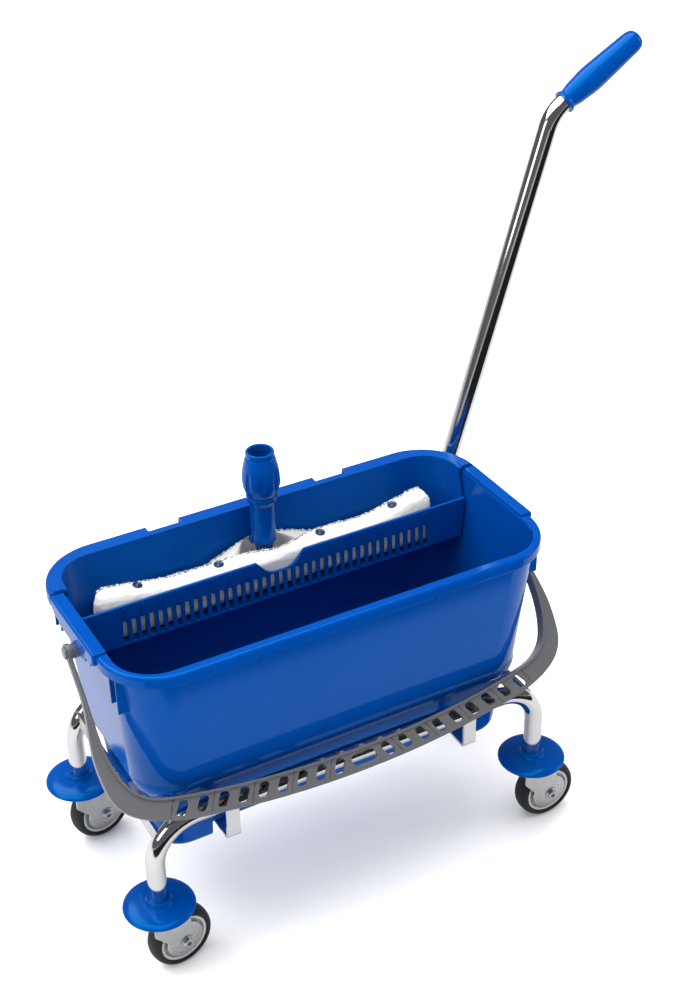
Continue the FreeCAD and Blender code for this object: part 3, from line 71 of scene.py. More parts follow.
# ---- node recipes ----
class Finish:
    """One procedural finish: a Principled shader and the nodes that feed it."""

    def __init__(self, name, **sockets):
        self.material = bpy.data.materials.new(name)
        self.material.use_nodes = True
        self.tree = self.material.node_tree
        self.tree.nodes.clear()
        output = self.add("ShaderNodeOutputMaterial")
        self.shader = self.add("ShaderNodeBsdfPrincipled")
        self.link(self.shader.outputs[0], output.inputs["Surface"])
        self.place = self.add("ShaderNodeTexCoord").outputs["Object"]
        for key, value in sockets.items():
            self.shader.inputs[key.replace("_", " ")].default_value = value

    def add(self, kind, **settings):
        node = self.tree.nodes.new(kind)
        for key, value in settings.items():
            setattr(node, key, value)
        return node

    def link(self, a, b):
        self.tree.links.new(a, b)

    def stretched(self, scale, turn=(0, 0, 0)):
        """Coordinates scaled on each axis, for grain that runs one way."""
        node = self.add("ShaderNodeMapping")
        node.inputs["Scale"].default_value = scale
        node.inputs["Rotation"].default_value = turn
        self.link(self.place, node.inputs["Vector"])
        return node.outputs["Vector"]

    def noise(self, scale, detail=3.0, rough=0.5, source=None):
        node = self.add("ShaderNodeTexNoise")
        node.inputs["Scale"].default_value = scale
        node.inputs["Detail"].default_value = detail
        node.inputs["Roughness"].default_value = rough
        self.link(source or self.place, node.inputs["Vector"])
        return node.outputs["Fac"]

    def cells(self, scale, feature="F1"):
        node = self.add("ShaderNodeTexVoronoi", feature=feature)
        node.inputs["Scale"].default_value = scale
        self.link(self.place, node.inputs["Vector"])
        return node.outputs["Distance"]

    def ramp(self, fac, stops):
        """Colour ramp; each stop is (position, colour or grey value)."""
        node = self.add("ShaderNodeValToRGB")
        marks = node.color_ramp.elements
        while len(marks) < len(stops):
            marks.new(0.5)
        for mark, (position, value) in zip(marks, stops):
            mark.position = position
            grey = isinstance(value, (int, float))
            mark.color = (value, value, value, 1) if grey else (*value[:3], 1)
        self.link(fac, node.inputs["Fac"])
        return node.outputs["Color"]

    def span(self, fac, low, high, start=0.0, end=1.0):
        """Number from low to high as fac goes from start to end."""
        node = self.add("ShaderNodeMapRange")
        for key, value in (("From Min", start), ("From Max", end), ("To Min", low), ("To Max", high)):
            node.inputs[key].default_value = value
        self.link(fac, node.inputs["Value"])
        return node.outputs["Result"]

    def math(self, kind, a, b):
        node = self.add("ShaderNodeMath", operation=kind)
        for socket, value in zip(node.inputs, (a, b)):
            if isinstance(value, (int, float)):
                socket.default_value = value
            else:
                self.link(value, socket)
        return node.outputs[0]

    def mix(self, fac, a, b):
        node = self.add("ShaderNodeMix", data_type="RGBA")
        for socket, value in ((node.inputs[0], fac), (node.inputs[6], a), (node.inputs[7], b)):
            if isinstance(value, (int, float)):
                socket.default_value = value
            elif isinstance(value, tuple):
                socket.default_value = (*value[:3], 1)
            else:
                self.link(value, socket)
        return node.outputs[2]

    def edges(self, radius):
        """Mask of 0 on flat faces and towards 1 along edges, with the rounded normal."""
        bevel = self.add("ShaderNodeBevel", samples=4)
        bevel.inputs["Radius"].default_value = radius
        geometry = self.add("ShaderNodeNewGeometry")
        dot = self.add("ShaderNodeVectorMath", operation="DOT_PRODUCT")
        self.link(bevel.outputs[0], dot.inputs[0])
        self.link(geometry.outputs["Normal"], dot.inputs[1])
        return self.span(dot.outputs["Value"], 1.0, 0.0, 0.8, 1.0), bevel.outputs[0]

    def bump(self, height, strength, distance, normal=None):
        node = self.add("ShaderNodeBump")
        node.inputs["Strength"].default_value = strength
        node.inputs["Distance"].default_value = distance
        self.link(height, node.inputs["Height"])
        if normal is not None:
            self.link(normal, node.inputs["Normal"])
        return node.outputs["Normal"]

    def set(self, **links):
        for key, source in links.items():
            self.link(source, self.shader.inputs[key.replace("_", " ")])
        return self.material


def shade(colour, factor):
    """The colour made lighter or darker by a factor."""
    return tuple(min(1.0, c * factor) for c in colour[:3])


def moulded_plastic(name, colour, rough, specular, worn, tint=None, round_edge=0.0007):
    """Injection moulded polypropylene: flow marks, fine spark texture, dulled edges."""
    f = Finish(name, IOR=1.49, Specular_IOR_Level=specular)
    if tint:
        f.shader.inputs["Specular Tint"].default_value = (*tint, 1)
    edge, normal = f.edges(round_edge)
    flow = f.noise(7.0, 4.0, 0.6)
    tone = f.ramp(flow, [(0.3, shade(colour, 0.94)), (0.55, colour), (0.8, shade(colour, 1.05))])
    scuff = f.noise(60.0, 6.0, 0.75, f.stretched((1.0, 5.0, 9.0), (0.3, 0.2, 0.5)))
    rub = f.math("MULTIPLY", edge, f.span(scuff, 0.0, 0.5, 0.42, 0.62))
    base = f.mix(rub, tone, tuple(worn))
    dust = f.noise(420.0, 2.0, 0.6)
    gloss = f.math("ADD", f.span(flow, rough * 0.8, rough * 1.25), f.span(scuff, 0.0, 0.1, 0.55, 0.8))
    grain = f.bump(f.noise(1500.0, 2.0), 0.06, 0.0002, normal)
    waves = f.bump(f.noise(18.0, 2.0, 0.4), 0.02, 0.002, grain)
    base = f.mix(f.span(dust, 0.0, 0.012, 0.62, 0.8), base, (0.5, 0.6, 0.75))
    return f.set(Base_Color=base, Roughness=gloss, Normal=waves)


def polished_chrome(name, tint, rough):
    """Chrome plate: clear mirror with faint lengthwise polishing lines and finger haze."""
    f = Finish(name, Metallic=1.0)
    normal = f.edges(0.0006)[1]
    haze = f.noise(14.0, 5.0, 0.65)
    tone = f.ramp(haze, [(0.3, shade(tint, 0.93)), (0.6, tint), (0.9, shade(tint, 1.05))])
    lines = f.noise(90.0, 3.0, 0.6, f.stretched((1.0, 1.0, 12.0)))
    specks = f.span(f.cells(700.0), 0.16, 0.0, 0.0, 0.12)
    gloss = f.math("ADD", f.span(haze, rough * 0.6, rough * 2.4, 0.3, 0.8), specks)
    return f.set(Base_Color=tone, Roughness=gloss, Normal=f.bump(lines, 0.04, 0.0003, normal))


def galvanised(name, tint, rough):
    """Bright zinc plate: cloudy grains, light brushing and duller edges."""
    f = Finish(name, Metallic=1.0)
    edge, normal = f.edges(0.0006)
    cloud = f.noise(55.0, 5.0, 0.7)
    grains = f.cells(260.0)
    tone = f.ramp(cloud, [(0.25, shade(tint, 0.88)), (0.55, tint), (0.85, shade(tint, 1.08))])
    tone = f.mix(f.math("MULTIPLY", edge, 0.35), tone, shade(tint, 0.6))
    brushed = f.noise(400.0, 3.0, 0.7, f.stretched((1.0, 1.0, 0.06)))
    gloss = f.math("ADD", f.span(cloud, rough * 0.75, rough * 1.4), f.span(grains, 0.06, 0.0, 0.0, 0.6))
    return f.set(Base_Color=tone, Roughness=gloss, Normal=f.bump(brushed, 0.1, 0.0003, normal))


def tyre_rubber(name, colour):
    """Grey thermoplastic rubber: matt, dusty, with a rubbed tread."""
    f = Finish(name, IOR=1.5, Specular_IOR_Level=0.25, Sheen_Weight=0.04, Sheen_Roughness=0.5)
    edge, normal = f.edges(0.0008)
    dust = f.noise(35.0, 6.0, 0.75)
    tone = f.ramp(dust, [(0.3, shade(colour, 0.8)), (0.6, colour), (0.9, shade(colour, 1.5))])
    tone = f.mix(f.math("MULTIPLY", edge, 0.4), tone, shade(colour, 1.6))
    grain = f.noise(900.0, 4.0, 0.7)
    gloss = f.span(dust, 0.45, 0.72, 0.2, 0.8)
    return f.set(Base_Color=tone, Roughness=gloss, Normal=f.bump(grain, 0.25, 0.0003, normal))


def assign(material, *nodes):
    """Give CAD nodes a finish in place of their plain one."""
    for name in nodes:
        data = frame["nodes"][name].data
        data.materials.clear()
        data.materials.append(material)


def microfibre(name, colour, speckle=0.0):
    """White microfibre: short looped pile with soft sheen and painted shade between the loops; speckle
    adds dark flecks.
    """
    f = Finish(
        name, IOR=1.45, Specular_IOR_Level=0.12, Sheen_Weight=0.35, Sheen_Roughness=0.6, Roughness=0.95,
    )
    cloud = f.noise(30.0, 4.0, 0.6)
    tone = f.ramp(cloud, [(0.25, shade(colour, 0.93)), (0.6, colour)])
    loops = f.cells(780.0, "SMOOTH_F1")
    rows = f.noise(900.0, 2.0, 0.6, f.stretched((1.0, 0.35, 0.35)))
    # painted shade: the colour is darkened in the gaps between the pile's loops, where shade would fall
    tone = f.mix(f.span(loops, 0.0, 0.16, 0.35, 0.75), tone, shade(colour, 0.6))
    if speckle:
        flecks = f.ramp(f.noise(430.0, 2.0, 0.4), [(0.51, 0.0), (0.54, 1.0)])
        tone = f.mix(f.math("MULTIPLY", flecks, speckle), tone, (0.06, 0.06, 0.07))
    pile = f.math("ADD", f.math("MULTIPLY", loops, 0.8), f.math("MULTIPLY", rows, 0.5))
    folds = f.bump(f.noise(85.0, 3.0, 0.5), 0.25, 0.002)
    return f.set(Base_Color=tone, Normal=f.bump(pile, 0.35, 0.0006, folds))


# ---- turned shapes ----
# Profiles are (radius, height) points in millimetres.
STUD_PROFILE = (
    (0, 2.0), (1.2, 1.9), (2.0, 0.9), (3.4, 0.8), (4.3, 1.7), (5.3, 1.5), (5.8, 0.4), (5.6, -0.6),
    (0, -0.6),
)
INNER = 14.3  # half the gap between the fork's legs
OUTER = 16.85  # half the width over the fork's legs
GUARD_PROFILE = (
    (4.3, INNER - 1.7), (4.3, INNER - 0.1), (10.5, INNER - 0.1), (11.4, INNER - 0.7),
    (16.6, INNER - 0.7), (17.4, INNER - 1.3), (21.6, INNER - 1.5), (22.8, INNER - 2.1),
    (22.8, INNER - 3.2), (18.0, INNER - 2.0), (4.3, INNER - 1.7),
)
SCREW_PROFILE = (
    (0, OUTER - 0.4), (8.4, OUTER), (8.4, OUTER + 0.9), (6.3, OUTER + 1.0), (6.1, OUTER + 2.7),
    (5.0, OUTER + 3.9), (2.9, OUTER + 4.2),
)
RECESS_PROFILE = ((2.95, OUTER + 4.2), (2.8, OUTER + 2.0), (0, OUTER + 1.9))
NUT_PROFILE = (
    (0, OUTER), (7.4, OUTER), (7.4, OUTER + 4.6), (5.6, OUTER + 5.2), (5.2, OUTER + 6.4),
    (4.1, OUTER + 6.5), (3.8, OUTER + 7.6), (0, OUTER + 7.6),
)
SHANK_PROFILE = ((4, -OUTER), (4, OUTER))
SOFT_EDGE = 0.25 * MM


def facing(spot, normal):
    """Placement with Z along the normal."""
    return Matrix.Translation(spot) @ Vector(normal).to_track_quat("Z", "Y").to_matrix().to_4x4()


def turned(bm, profile, steps, placement):
    """Add a profile spun about the placement's Z."""
    alone = bmesh.new()
    line = [alone.verts.new((r * MM, 0, z * MM)) for r, z in profile]
    geom = line + [alone.edges.new(pair) for pair in zip(line, line[1:])]
    bmesh.ops.spin(
        alone, geom=geom, cent=(0, 0, 0), axis=(0, 0, 1), angle=math.tau, steps=steps, use_merge=True,
    )
    bmesh.ops.remove_doubles(alone, verts=alone.verts, dist=0.01 * MM)
    bmesh.ops.recalc_face_normals(alone, faces=alone.faces)
    bmesh.ops.transform(alone, matrix=placement, verts=alone.verts)
    mesh = bpy.data.meshes.new("turned")
    alone.to_mesh(mesh)
    alone.free()
    bm.from_mesh(mesh)
    bpy.data.meshes.remove(mesh)


# ---- settings ----
class MopBucketSettings(bpy.types.PropertyGroup):
    """Colours, cloth fullness and lights"""

    blue: FloatVectorProperty(
        name="Blue", description="Colour of the bucket, sieve, discs and socket",
        subtype="COLOR", size=3, min=0, max=1, default=(0.0, 0.047, 0.26),
    )
    blue_worn: FloatVectorProperty(
        name="Worn blue", description="Colour where the blue plastic is rubbed",
        subtype="COLOR", size=3, min=0, max=1, default=(0.0, 0.1, 0.38),
    )
    bail_grey: FloatVectorProperty(
        name="Bail grey", description="Colour of the carrying handle",
        subtype="COLOR", size=3, min=0, max=1, default=(0.105, 0.106, 0.115),
    )
    tyre_grey: FloatVectorProperty(
        name="Tyre grey", description="Colour of the tyres",
        subtype="COLOR", size=3, min=0, max=1, default=(0.012, 0.012, 0.014),
    )
    cover_white: FloatVectorProperty(
        name="Mop white", description="Colour of the microfibre mop cover",
        subtype="COLOR", size=3, min=0, max=1, default=(0.53, 0.53, 0.522),
    )
    cover_fill: FloatProperty(
        name="Mop fullness", description="How hard the folded mop cover is blown up before it is set",
        min=0, max=10, default=3.0,
    )
    cover_tufts: IntProperty(
        name="Edge tufts", description="Number of loose threads along each overlocked edge",
        min=0, max=600, default=340,
    )
    chrome_blur: FloatProperty(
        name="Chrome blur", description="Roughness of the chromed tubes",
        subtype="FACTOR", min=0, max=1, default=0.05,
    )
    key_power: FloatProperty(
        name="Overhead light", description="Power of the large light above",
        unit="POWER", min=0, default=120.0,
    )
    side_power: FloatProperty(
        name="Side lights", description="Power of the soft boxes at the sides",
        unit="POWER", min=0, default=10.0,
    )


# ---- finishes on the frame's own parts ----
class FinishBluePlastic(bpy.types.Operator):
    """Blue moulded plastic on the bucket, sieve, discs, socket and grip"""

    bl_idname = "mop_bucket.blue_plastic"
    bl_label = "Blue plastic"

    def execute(self, context):
        s = context.scene.mop_bucket
        sheen = (0.0, 0.55, 1.0)
        shell = moulded_plastic("blue_shell", tuple(s.blue), 0.08, 0.4, s.blue_worn, sheen, 0.0015)
        tray = moulded_plastic("blue_tray", tuple(s.blue), 0.3, 0.4, s.blue_worn, sheen, 0.0018)
        gloss = moulded_plastic("blue_fittings", tuple(s.blue), 0.16, 0.45, s.blue_worn, sheen)
        assign(shell, "bucket")
        assign(tray, "sieve_insert")
        assign(gloss, "mop_socket", "socket_clamp_nut", "handle_grip")
        assign(gloss, *(c + "_bumper_disc" for c in CORNERS))
        return {"FINISHED"}


class FinishGreyPlastic(bpy.types.Operator):
    """Grey and black moulded plastic on the bail, wheel hubs, handle socket and mop holder"""

    bl_idname = "mop_bucket.grey_plastic"
    bl_label = "Grey and black plastic"

    def execute(self, context):
        s = context.scene.mop_bucket
        bail = moulded_plastic(
            "bail_satin", tuple(s.bail_grey), 0.3, 0.5, (0.36, 0.36, 0.38), round_edge=0.0011,
        )
        black = moulded_plastic("black_fittings", (0.02, 0.021, 0.023), 0.4, 0.4, (0.09, 0.09, 0.1))
        hub = moulded_plastic("hub_grey", (0.42, 0.43, 0.44), 0.34, 0.4, (0.6, 0.6, 0.6))
        assign(bail, "bail_handle", "bail_pins", "wing_front", "wing_back", "mop_hub", "tilt_yoke")
        assign(black, "handle_socket", "handle_clamp_knob")
        assign(hub, *(c + "_wheel_hub" for c in CORNERS))
        return {"FINISHED"}


class FinishMetal(bpy.types.Operator):
    """Chrome on the tubes and straps, zinc on the casters"""

    bl_idname = "mop_bucket.metal"
    bl_label = "Chrome and zinc"

    def execute(self, context):
        s = context.scene.mop_bucket
        chrome = polished_chrome("chrome_tube", (0.74, 0.745, 0.75), s.chrome_blur)
        bars = polished_chrome("chrome_bars", (0.74, 0.745, 0.75), s.chrome_blur * 2.5)
        zinc = galvanised("zinc_plate", (0.6, 0.605, 0.61), 0.3)
        assign(chrome, "front_frame_tube", "rear_frame_tube", "push_handle_tube")
        assign(bars, "left_cross_bar", "right_cross_bar", "left_strap", "right_strap", "leg_plugs")
        assign(zinc, "wing_pins", "yoke_pin", "socket_pin")
        for c in CORNERS:
            assign(zinc, c + "_fork", c + "_kingpin")
        return {"FINISHED"}


class FinishTyres(bpy.types.Operator):
    """Grey rubber on the tyres"""

    bl_idname = "mop_bucket.tyres"
    bl_label = "Tyres"

    def execute(self, context):
        rubber = tyre_rubber("tyre_rubber", tuple(context.scene.mop_bucket.tyre_grey))
        assign(rubber, *(c + "_tyre" for c in CORNERS))
        return {"FINISHED"}


# ---- mop cover ----
POLE_GAP = 16.6 * MM  # cloth stays this far from the pole's axis
THREAD_GAP = POLE_GAP + 0.8 * MM
POLE_SWEEP = 12 * MM  # the pole leans this far to either side at the cloth's top
UNDER_GAP = 0.5 * MM
FRONT_WALL_GAP = 0.3 * MM
FRONT_BULGE = 1.6 * MM
FRONT_DENT = 9.5 * MM  # the pole pushes the front half forward
FRONT_DENT_X = 4 * MM
FRONT_DENT_WIDTH = 38 * MM
FRONT_SAG = 15.5 * MM
FRONT_SAG_ENDS = (105 * MM, 212 * MM)
FRONT_SLOPE = 0.014
BACK_DENT = 20 * MM  # the tilting pole needs this much of the back half's thickness
BACK_DENT_ENDS = (20 * MM, 40 * MM)
BACK_OVERHANG = 2.0 * MM
BACK_THICK = 20.5 * MM
BACK_LEAN = 2.6 * MM
BACK_SAG = 19 * MM
BACK_PEAK = 18 * MM
BACK_PEAK_ENDS = (14 * MM, 84 * MM)
END_ROUND = 16 * MM
END_CROWD = 1.25  # rings stand closer together towards the ends
CORNER_POWER = 0.6  # below 1, which is an ellipse, the section is squarer
LUMP = 1.3 * MM
HEM = 3.0 * MM
COVER_RINGS = 120
COVER_AROUND = 36
COVER_REACH = 2.2 * MM  # most that blowing up moves a point
CLOTH_FRAMES = 20
FRONT_END_GAPS = (1 * MM, 11 * MM)  # how far the cloth stops short of its solid, left and right
BACK_END_GAPS = (9 * MM, 14 * MM)
FRONT_SLACK = 0.6 * MM  # how far the cloth may stand past its solid towards each tray wall
BACK_SLACK = -0.4 * MM
EDGE_POINTS = 260
STUD_X = (-165, -67, 62, 158)
STUD_FROM_FRONT = 17 * MM


def smooth(low, high, x):
    """0 up to low, 1 from high, and an even S between them."""
    t = min(1.0, max(0.0, (x - low) / (high - low)))
    return t * t * (3 - 2 * t)


def front_section(x):
    """Front, back, bottom and top of the front half, x from the pole."""
    pushed = math.exp(-((x - FRONT_DENT_X) / FRONT_DENT_WIDTH) ** 2)
    rise = smooth(*FRONT_SAG_ENDS, abs(x))
    back = FRONT_HIGH.y + FRONT_BULGE - FRONT_DENT * pushed
    top = FRONT_HIGH.z - FRONT_SAG * (1 - rise) + FRONT_SLOPE * x * rise
    return FRONT_LOW.y + FRONT_WALL_GAP, back, FRONT_LOW.z + UNDER_GAP, top


def back_section(x):
    """The same for the back half, which is spread behind the pole and sags towards its ends."""
    pushed = 1 - smooth(*BACK_DENT_ENDS, abs(x))
    lift = 1 - smooth(*BACK_PEAK_ENDS, abs(x))
    front = BACK_LOW.y - BACK_OVERHANG + BACK_DENT * pushed
    back = BACK_LOW.y + BACK_THICK + BACK_LEAN * lift
    return front, back, BACK_LOW.z + UNDER_GAP, BACK_HIGH.z - BACK_SAG + BACK_PEAK * lift


def ringed_tube(around, rings):
    """Closed cylinder of radius 1 from z -1 to 1, cut into rings."""
    bm = bmesh.new()
    bmesh.ops.create_cone(bm, cap_ends=True, segments=around, radius1=1, radius2=1, depth=2)
    long_edges = [e for e in bm.edges if abs(e.verts[0].co.z - e.verts[1].co.z) > 1]
    bmesh.ops.subdivide_edges(bm, edges=long_edges, cuts=rings)
    return bm


def sausage(name, ends, section, seed):
    """Closed tube along X between two ends; section(x) gives the sides of its rounded outline."""
    middle, half = (ends[0] + ends[1]) / 2, (ends[1] - ends[0]) / 2
    bm = ringed_tube(COVER_AROUND, COVER_RINGS)
    for v in bm.verts:
        along = half * math.sin(END_CROWD * v.co.z) / math.sin(END_CROWD)
        x = middle + along
        c, s = v.co.x, v.co.y
        front, back, low, top = section(x)
        into_end = max(0.0, (abs(along) - half + END_ROUND) / END_ROUND)
        shrink = max(0.06, 1 - into_end ** 2.4) ** 0.5
        y = math.copysign(abs(c) ** CORNER_POWER, c) * shrink
        z = math.copysign(abs(s) ** CORNER_POWER, s) * (0.35 + 0.65 * shrink)
        lump = noise.noise(Vector((x * 24, c * 1.6 + seed, s * 1.6))) * LUMP
        hem = HEM * smooth(0.2, 1.0, y) * smooth(0.3, 0.9, z)
        across = (front + back) / 2 + y * (back - front) / 2
        height = (low + top) / 2 + z * (top - low) / 2
        v.co = Vector((x, across, height)) + Vector((POLE.x, lump * c, hem + lump * s))
    bmesh.ops.recalc_face_normals(bm, faces=bm.faces)
    return piece_from(bm, name)


def piece_from(bm, name):
    """Make a smooth shaded object of a bmesh and free the bmesh."""
    for face in bm.faces:
        face.smooth = True
    mesh = bpy.data.meshes.new(name)
    bm.to_mesh(mesh)
    bm.free()
    piece = bpy.data.objects.new(name, mesh)
    bpy.context.scene.collection.objects.link(piece)
    return piece


def settle(piece):
    """Replace the mesh by the result of its modifiers and drop them."""
    depsgraph = bpy.context.evaluated_depsgraph_get()
    mesh = bpy.data.meshes.new_from_object(piece.evaluated_get(depsgraph))
    old = piece.data
    piece.modifiers.clear()
    piece.data = mesh
    mesh.name = old.name
    bpy.data.meshes.remove(old)


def blow_up(piece, pressure):
    """Blow up the cloth; no point ends further than the reach from its start."""
    start = [v.co.copy() for v in piece.data.vertices]
    cloth = piece.modifiers.new("fullness", "CLOTH")
    cloth.settings.quality = 6
    cloth.settings.mass = 0.25
    cloth.settings.tension_stiffness = 12
    cloth.settings.compression_stiffness = 12
    cloth.settings.bending_stiffness = 0.4
    cloth.settings.shrink_min = -0.05
    cloth.settings.use_pressure = True
    cloth.settings.uniform_pressure_force = pressure
    cloth.settings.effector_weights.gravity = 0
    cloth.point_cache.frame_start = 1
    cloth.point_cache.frame_end = CLOTH_FRAMES
    scene = bpy.context.scene
    for number in range(1, CLOTH_FRAMES + 1):
        scene.frame_set(number)
    settle(piece)
    scene.frame_set(1)
    for v, before in zip(piece.data.vertices, start):
        move = v.co - before
        if move.length > COVER_REACH:
            v.co = before + move * (COVER_REACH / move.length)


def clear_pole(vertex, gap):
    """Push a point out of the slot that the pole socket sweeps as it tilts to either side."""
    along = vertex.co.x - POLE.x
    run = min(POLE_SWEEP, max(-POLE_SWEEP, along))
    off = Vector((along - run, vertex.co.y - POLE.y))
    if off.length < gap:
        off = off.normalized() * gap
        vertex.co.x = POLE.x + run + off.x
        vertex.co.y = POLE.y + off.y


def finish_cover(piece, wall_y):
    """Subdivide once, raise the pile and keep it off the tray wall and the pole socket."""
    level = piece.modifiers.new("pile", "SUBSURF")
    level.levels = 1
    level.render_levels = 1
    settle(piece)
    normals = [v.normal.copy() for v in piece.data.vertices]
    for v, normal in zip(piece.data.vertices, normals):
        flat = smooth(0.5, 0.9, normal.z)
        pile = noise.noise(v.co * 330) * 0.55 * MM + noise.noise(v.co * 140) * 0.5 * MM
        v.co += normal * pile * (1 - 0.75 * flat)
        v.co.y = max(v.co.y, wall_y[0]) if normal.y < 0 else min(v.co.y, wall_y[1])
        clear_pole(v, POLE_GAP)


def edge_path(piece, ends, section):
    """Points on the piece along its upper back edge, with the way out of the cloth."""
    tree = BVHTree.FromObject(piece, bpy.context.evaluated_depsgraph_get())
    path = []
    for i in range(EDGE_POINTS):
        x = ends[0] + 2 * MM + (ends[1] - ends[0] - 4 * MM) * i / (EDGE_POINTS - 1)
        _, back, _, top = section(x)
        spot, normal, _, _ = tree.find_nearest(Vector((POLE.x + x, back, top + 4 * MM)))
        path.append((spot, normal))
    return path


def overlock(name, path, tufts, seed):
    """Stitched roll along an edge with short loose threads standing out of it."""
    rng = random.Random(seed)
    bm = ringed_tube(7, len(path) - 2)
    for v in bm.verts:
        i = round((v.co.z + 1) / 2 * (len(path) - 1))
        spot, _ = path[i]
        radius = (1.2 + 0.5 * (i % 2) + 0.5 * noise.noise(spot * 300)) * MM
        v.co = spot + Vector((0, v.co.x * radius, v.co.y * radius))
    for _ in range(tufts):
        spot, normal = path[rng.randrange(len(path))]
        length = rng.uniform(1.2, 3.4) * MM
        lean = Vector((rng.uniform(-0.9, 0.9), rng.uniform(-0.9, 0.6), 0.6)) + normal * 0.5
        turn = lean.to_track_quat("Z", "Y").to_matrix().to_4x4()
        shift = spot + lean.normalized() * (length * 0.4) + Vector((rng.uniform(-1, 1) * MM, 0, 0))
        bmesh.ops.create_cone(
            bm, cap_ends=True, segments=5, radius1=rng.uniform(0.7, 1.2) * MM, radius2=0.4 * MM,
            depth=length, matrix=Matrix.Translation(shift) @ turn,
        )
    for v in bm.verts:
        clear_pole(v, THREAD_GAP)
    bmesh.ops.recalc_face_normals(bm, faces=bm.faces)
    return piece_from(bm, name)


class BuildMopCover(bpy.types.Operator):
    """Folded microfibre mop cover: two soft halves with overlocked edges"""

    bl_idname = "mop_bucket.mop_cover"
    bl_label = "Mop cover"

    def execute(self, context):
        s = context.scene.mop_bucket
        cloth = microfibre("cover_microfibre", tuple(s.cover_white))
        thread = microfibre("cover_overlock", tuple(s.cover_white), 0.95)
        walls = (FRONT_LOW.y - FRONT_SLACK, BACK_HIGH.y + BACK_SLACK)
        halves = (
            ("front", front_section, FRONT_LOW, FRONT_HIGH, FRONT_END_GAPS, 3),
            ("back", back_section, BACK_LOW, BACK_HIGH, BACK_END_GAPS, 11),
        )
        for side, section, low, high, gaps, seed in halves:
            ends = (low.x - POLE.x + gaps[0], high.x - POLE.x - gaps[1])
            cover = sausage("cover_" + side, ends, section, seed)
            blow_up(cover, s.cover_fill)
            finish_cover(cover, walls)
            cover.data.materials.append(cloth)
            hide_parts("mop_cover_" + side)
            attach(cover, "mop_head")
            path = edge_path(cover, ends, section)
            edge = overlock("cover_edge_" + side, path, s.cover_tufts, seed)
            edge.data.materials.append(thread)
            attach(edge, "mop_head")
        return {"FINISHED"}


class BuildWheelDetail(bpy.types.Operator):
    """Stepped thread guards, cap screw and lock nut on each caster"""

    bl_idname = "mop_bucket.wheel_detail"
    bl_label = "Wheel detail"

    def execute(self, context):
        zinc = galvanised("zinc_turned", (0.6, 0.61, 0.62), 0.24)
        rolls = {j["name"]: j for j in frame["joints"] if j["name"].endswith("_roll")}
        guards = ((GUARD_PROFILE, 48, 1), (GUARD_PROFILE, 48, -1))
        axle = (
            (SCREW_PROFILE, 32, -1), (RECESS_PROFILE, 6, -1),
            (NUT_PROFILE, 6, 1), (SHANK_PROFILE, 16, 1),
        )
        for c in CORNERS:
            roll = rolls[c + "_roll"]
            line = Vector(roll["axis"])
            for name, shapes, nodes in (
                ("guards", guards, ("_thread_guards",)),
                ("axle", axle, ("_axle_bolt", "_axle_nut")),
            ):
                bm = bmesh.new()
                for profile, steps, side in shapes:
                    turned(bm, profile, steps, facing(roll["pos_m"], line * side))
                piece = piece_from(bm, c + "_" + name)
                bevelled = piece.modifiers.new("soft edges", "BEVEL")
                bevelled.width = SOFT_EDGE
                bevelled.segments = 2
                bevelled.harden_normals = True
                piece.data.materials.append(zinc)
                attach(piece, c + "_caster")
                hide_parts(*(c + node for node in nodes))
        return {"FINISHED"}


class BuildSnaps(bpy.types.Operator):
    """Four press studs on the front half of the cover"""

    bl_idname = "mop_bucket.snaps"
    bl_label = "Press studs"

    def execute(self, context):
        stud_blue = moulded_plastic("stud_plastic", (0.0, 0.018, 0.06), 0.2, 0.5, (0.02, 0.1, 0.2))
        cover = bpy.data.objects["cover_front"]
        tree = BVHTree.FromObject(cover, context.evaluated_depsgraph_get())
        bm = bmesh.new()
        for x in STUD_X:
            above = Vector((POLE.x + x * MM, FRONT_LOW.y + STUD_FROM_FRONT, 1))
            spot, normal, _, _ = tree.ray_cast(above, Vector((0, 0, -1)))
            turned(bm, STUD_PROFILE, 24, facing(spot, normal))
        studs = piece_from(bm, "cover_studs")
        studs.data.materials.append(stud_blue)
        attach(studs, "mop_head")
        return {"FINISHED"}


# ---- stage ----
CAMERA_PLACE = Vector((-0.7914, -1.35158, 1.41852))
CAMERA_AZIMUTH = math.radians(-28.52)
CAMERA_ELEVATION = math.radians(32.13)
CAMERA_ROLL = math.radians(-1.02)
CAMERA_LENS = 59.87
ROOM_LIGHT = 1.05
ROOM_MIRRORED = 0.12  # the room as shiny surfaces reflect it
BACKDROP = 1.0
FLOOR_MIRRORED = 0.5  # grey of the floor as shiny surfaces reflect it
DARK_MIRRORED = 0.01
CARD_EDGE_Y = -0.42
FLOOR_HALF = 9


def flat_card(name, low, high, height):
    """Level rectangle of the stage between two (x, y) corners."""
    bm = bmesh.new()
    bmesh.ops.create_grid(bm, x_segments=1, y_segments=1, size=0.5)
    bmesh.ops.scale(bm, vec=(high[0] - low[0], high[1] - low[1], 1), verts=bm.verts)
    middle = ((low[0] + high[0]) / 2, (low[1] + high[1]) / 2, height)
    bmesh.ops.translate(bm, vec=middle, verts=bm.verts)
    mesh = bpy.data.meshes.new(name)
    bm.to_mesh(mesh)
    bm.free()
    card = bpy.data.objects.new(name, mesh)
    bpy.context.scene.collection.objects.link(card)
    return card


def soft_light(name, place, target, size, power):
    """Square area light aimed at the target."""
    data = bpy.data.lights.new(name, "AREA")
    data.shape = "RECTANGLE"
    data.size = size
    data.size_y = size
    data.energy = power
    light = bpy.data.objects.new(name, data)
    light.location = place
    light.rotation_euler = (Vector(target) - Vector(place)).to_track_quat("-Z", "Y").to_euler()
    bpy.context.scene.collection.objects.link(light)


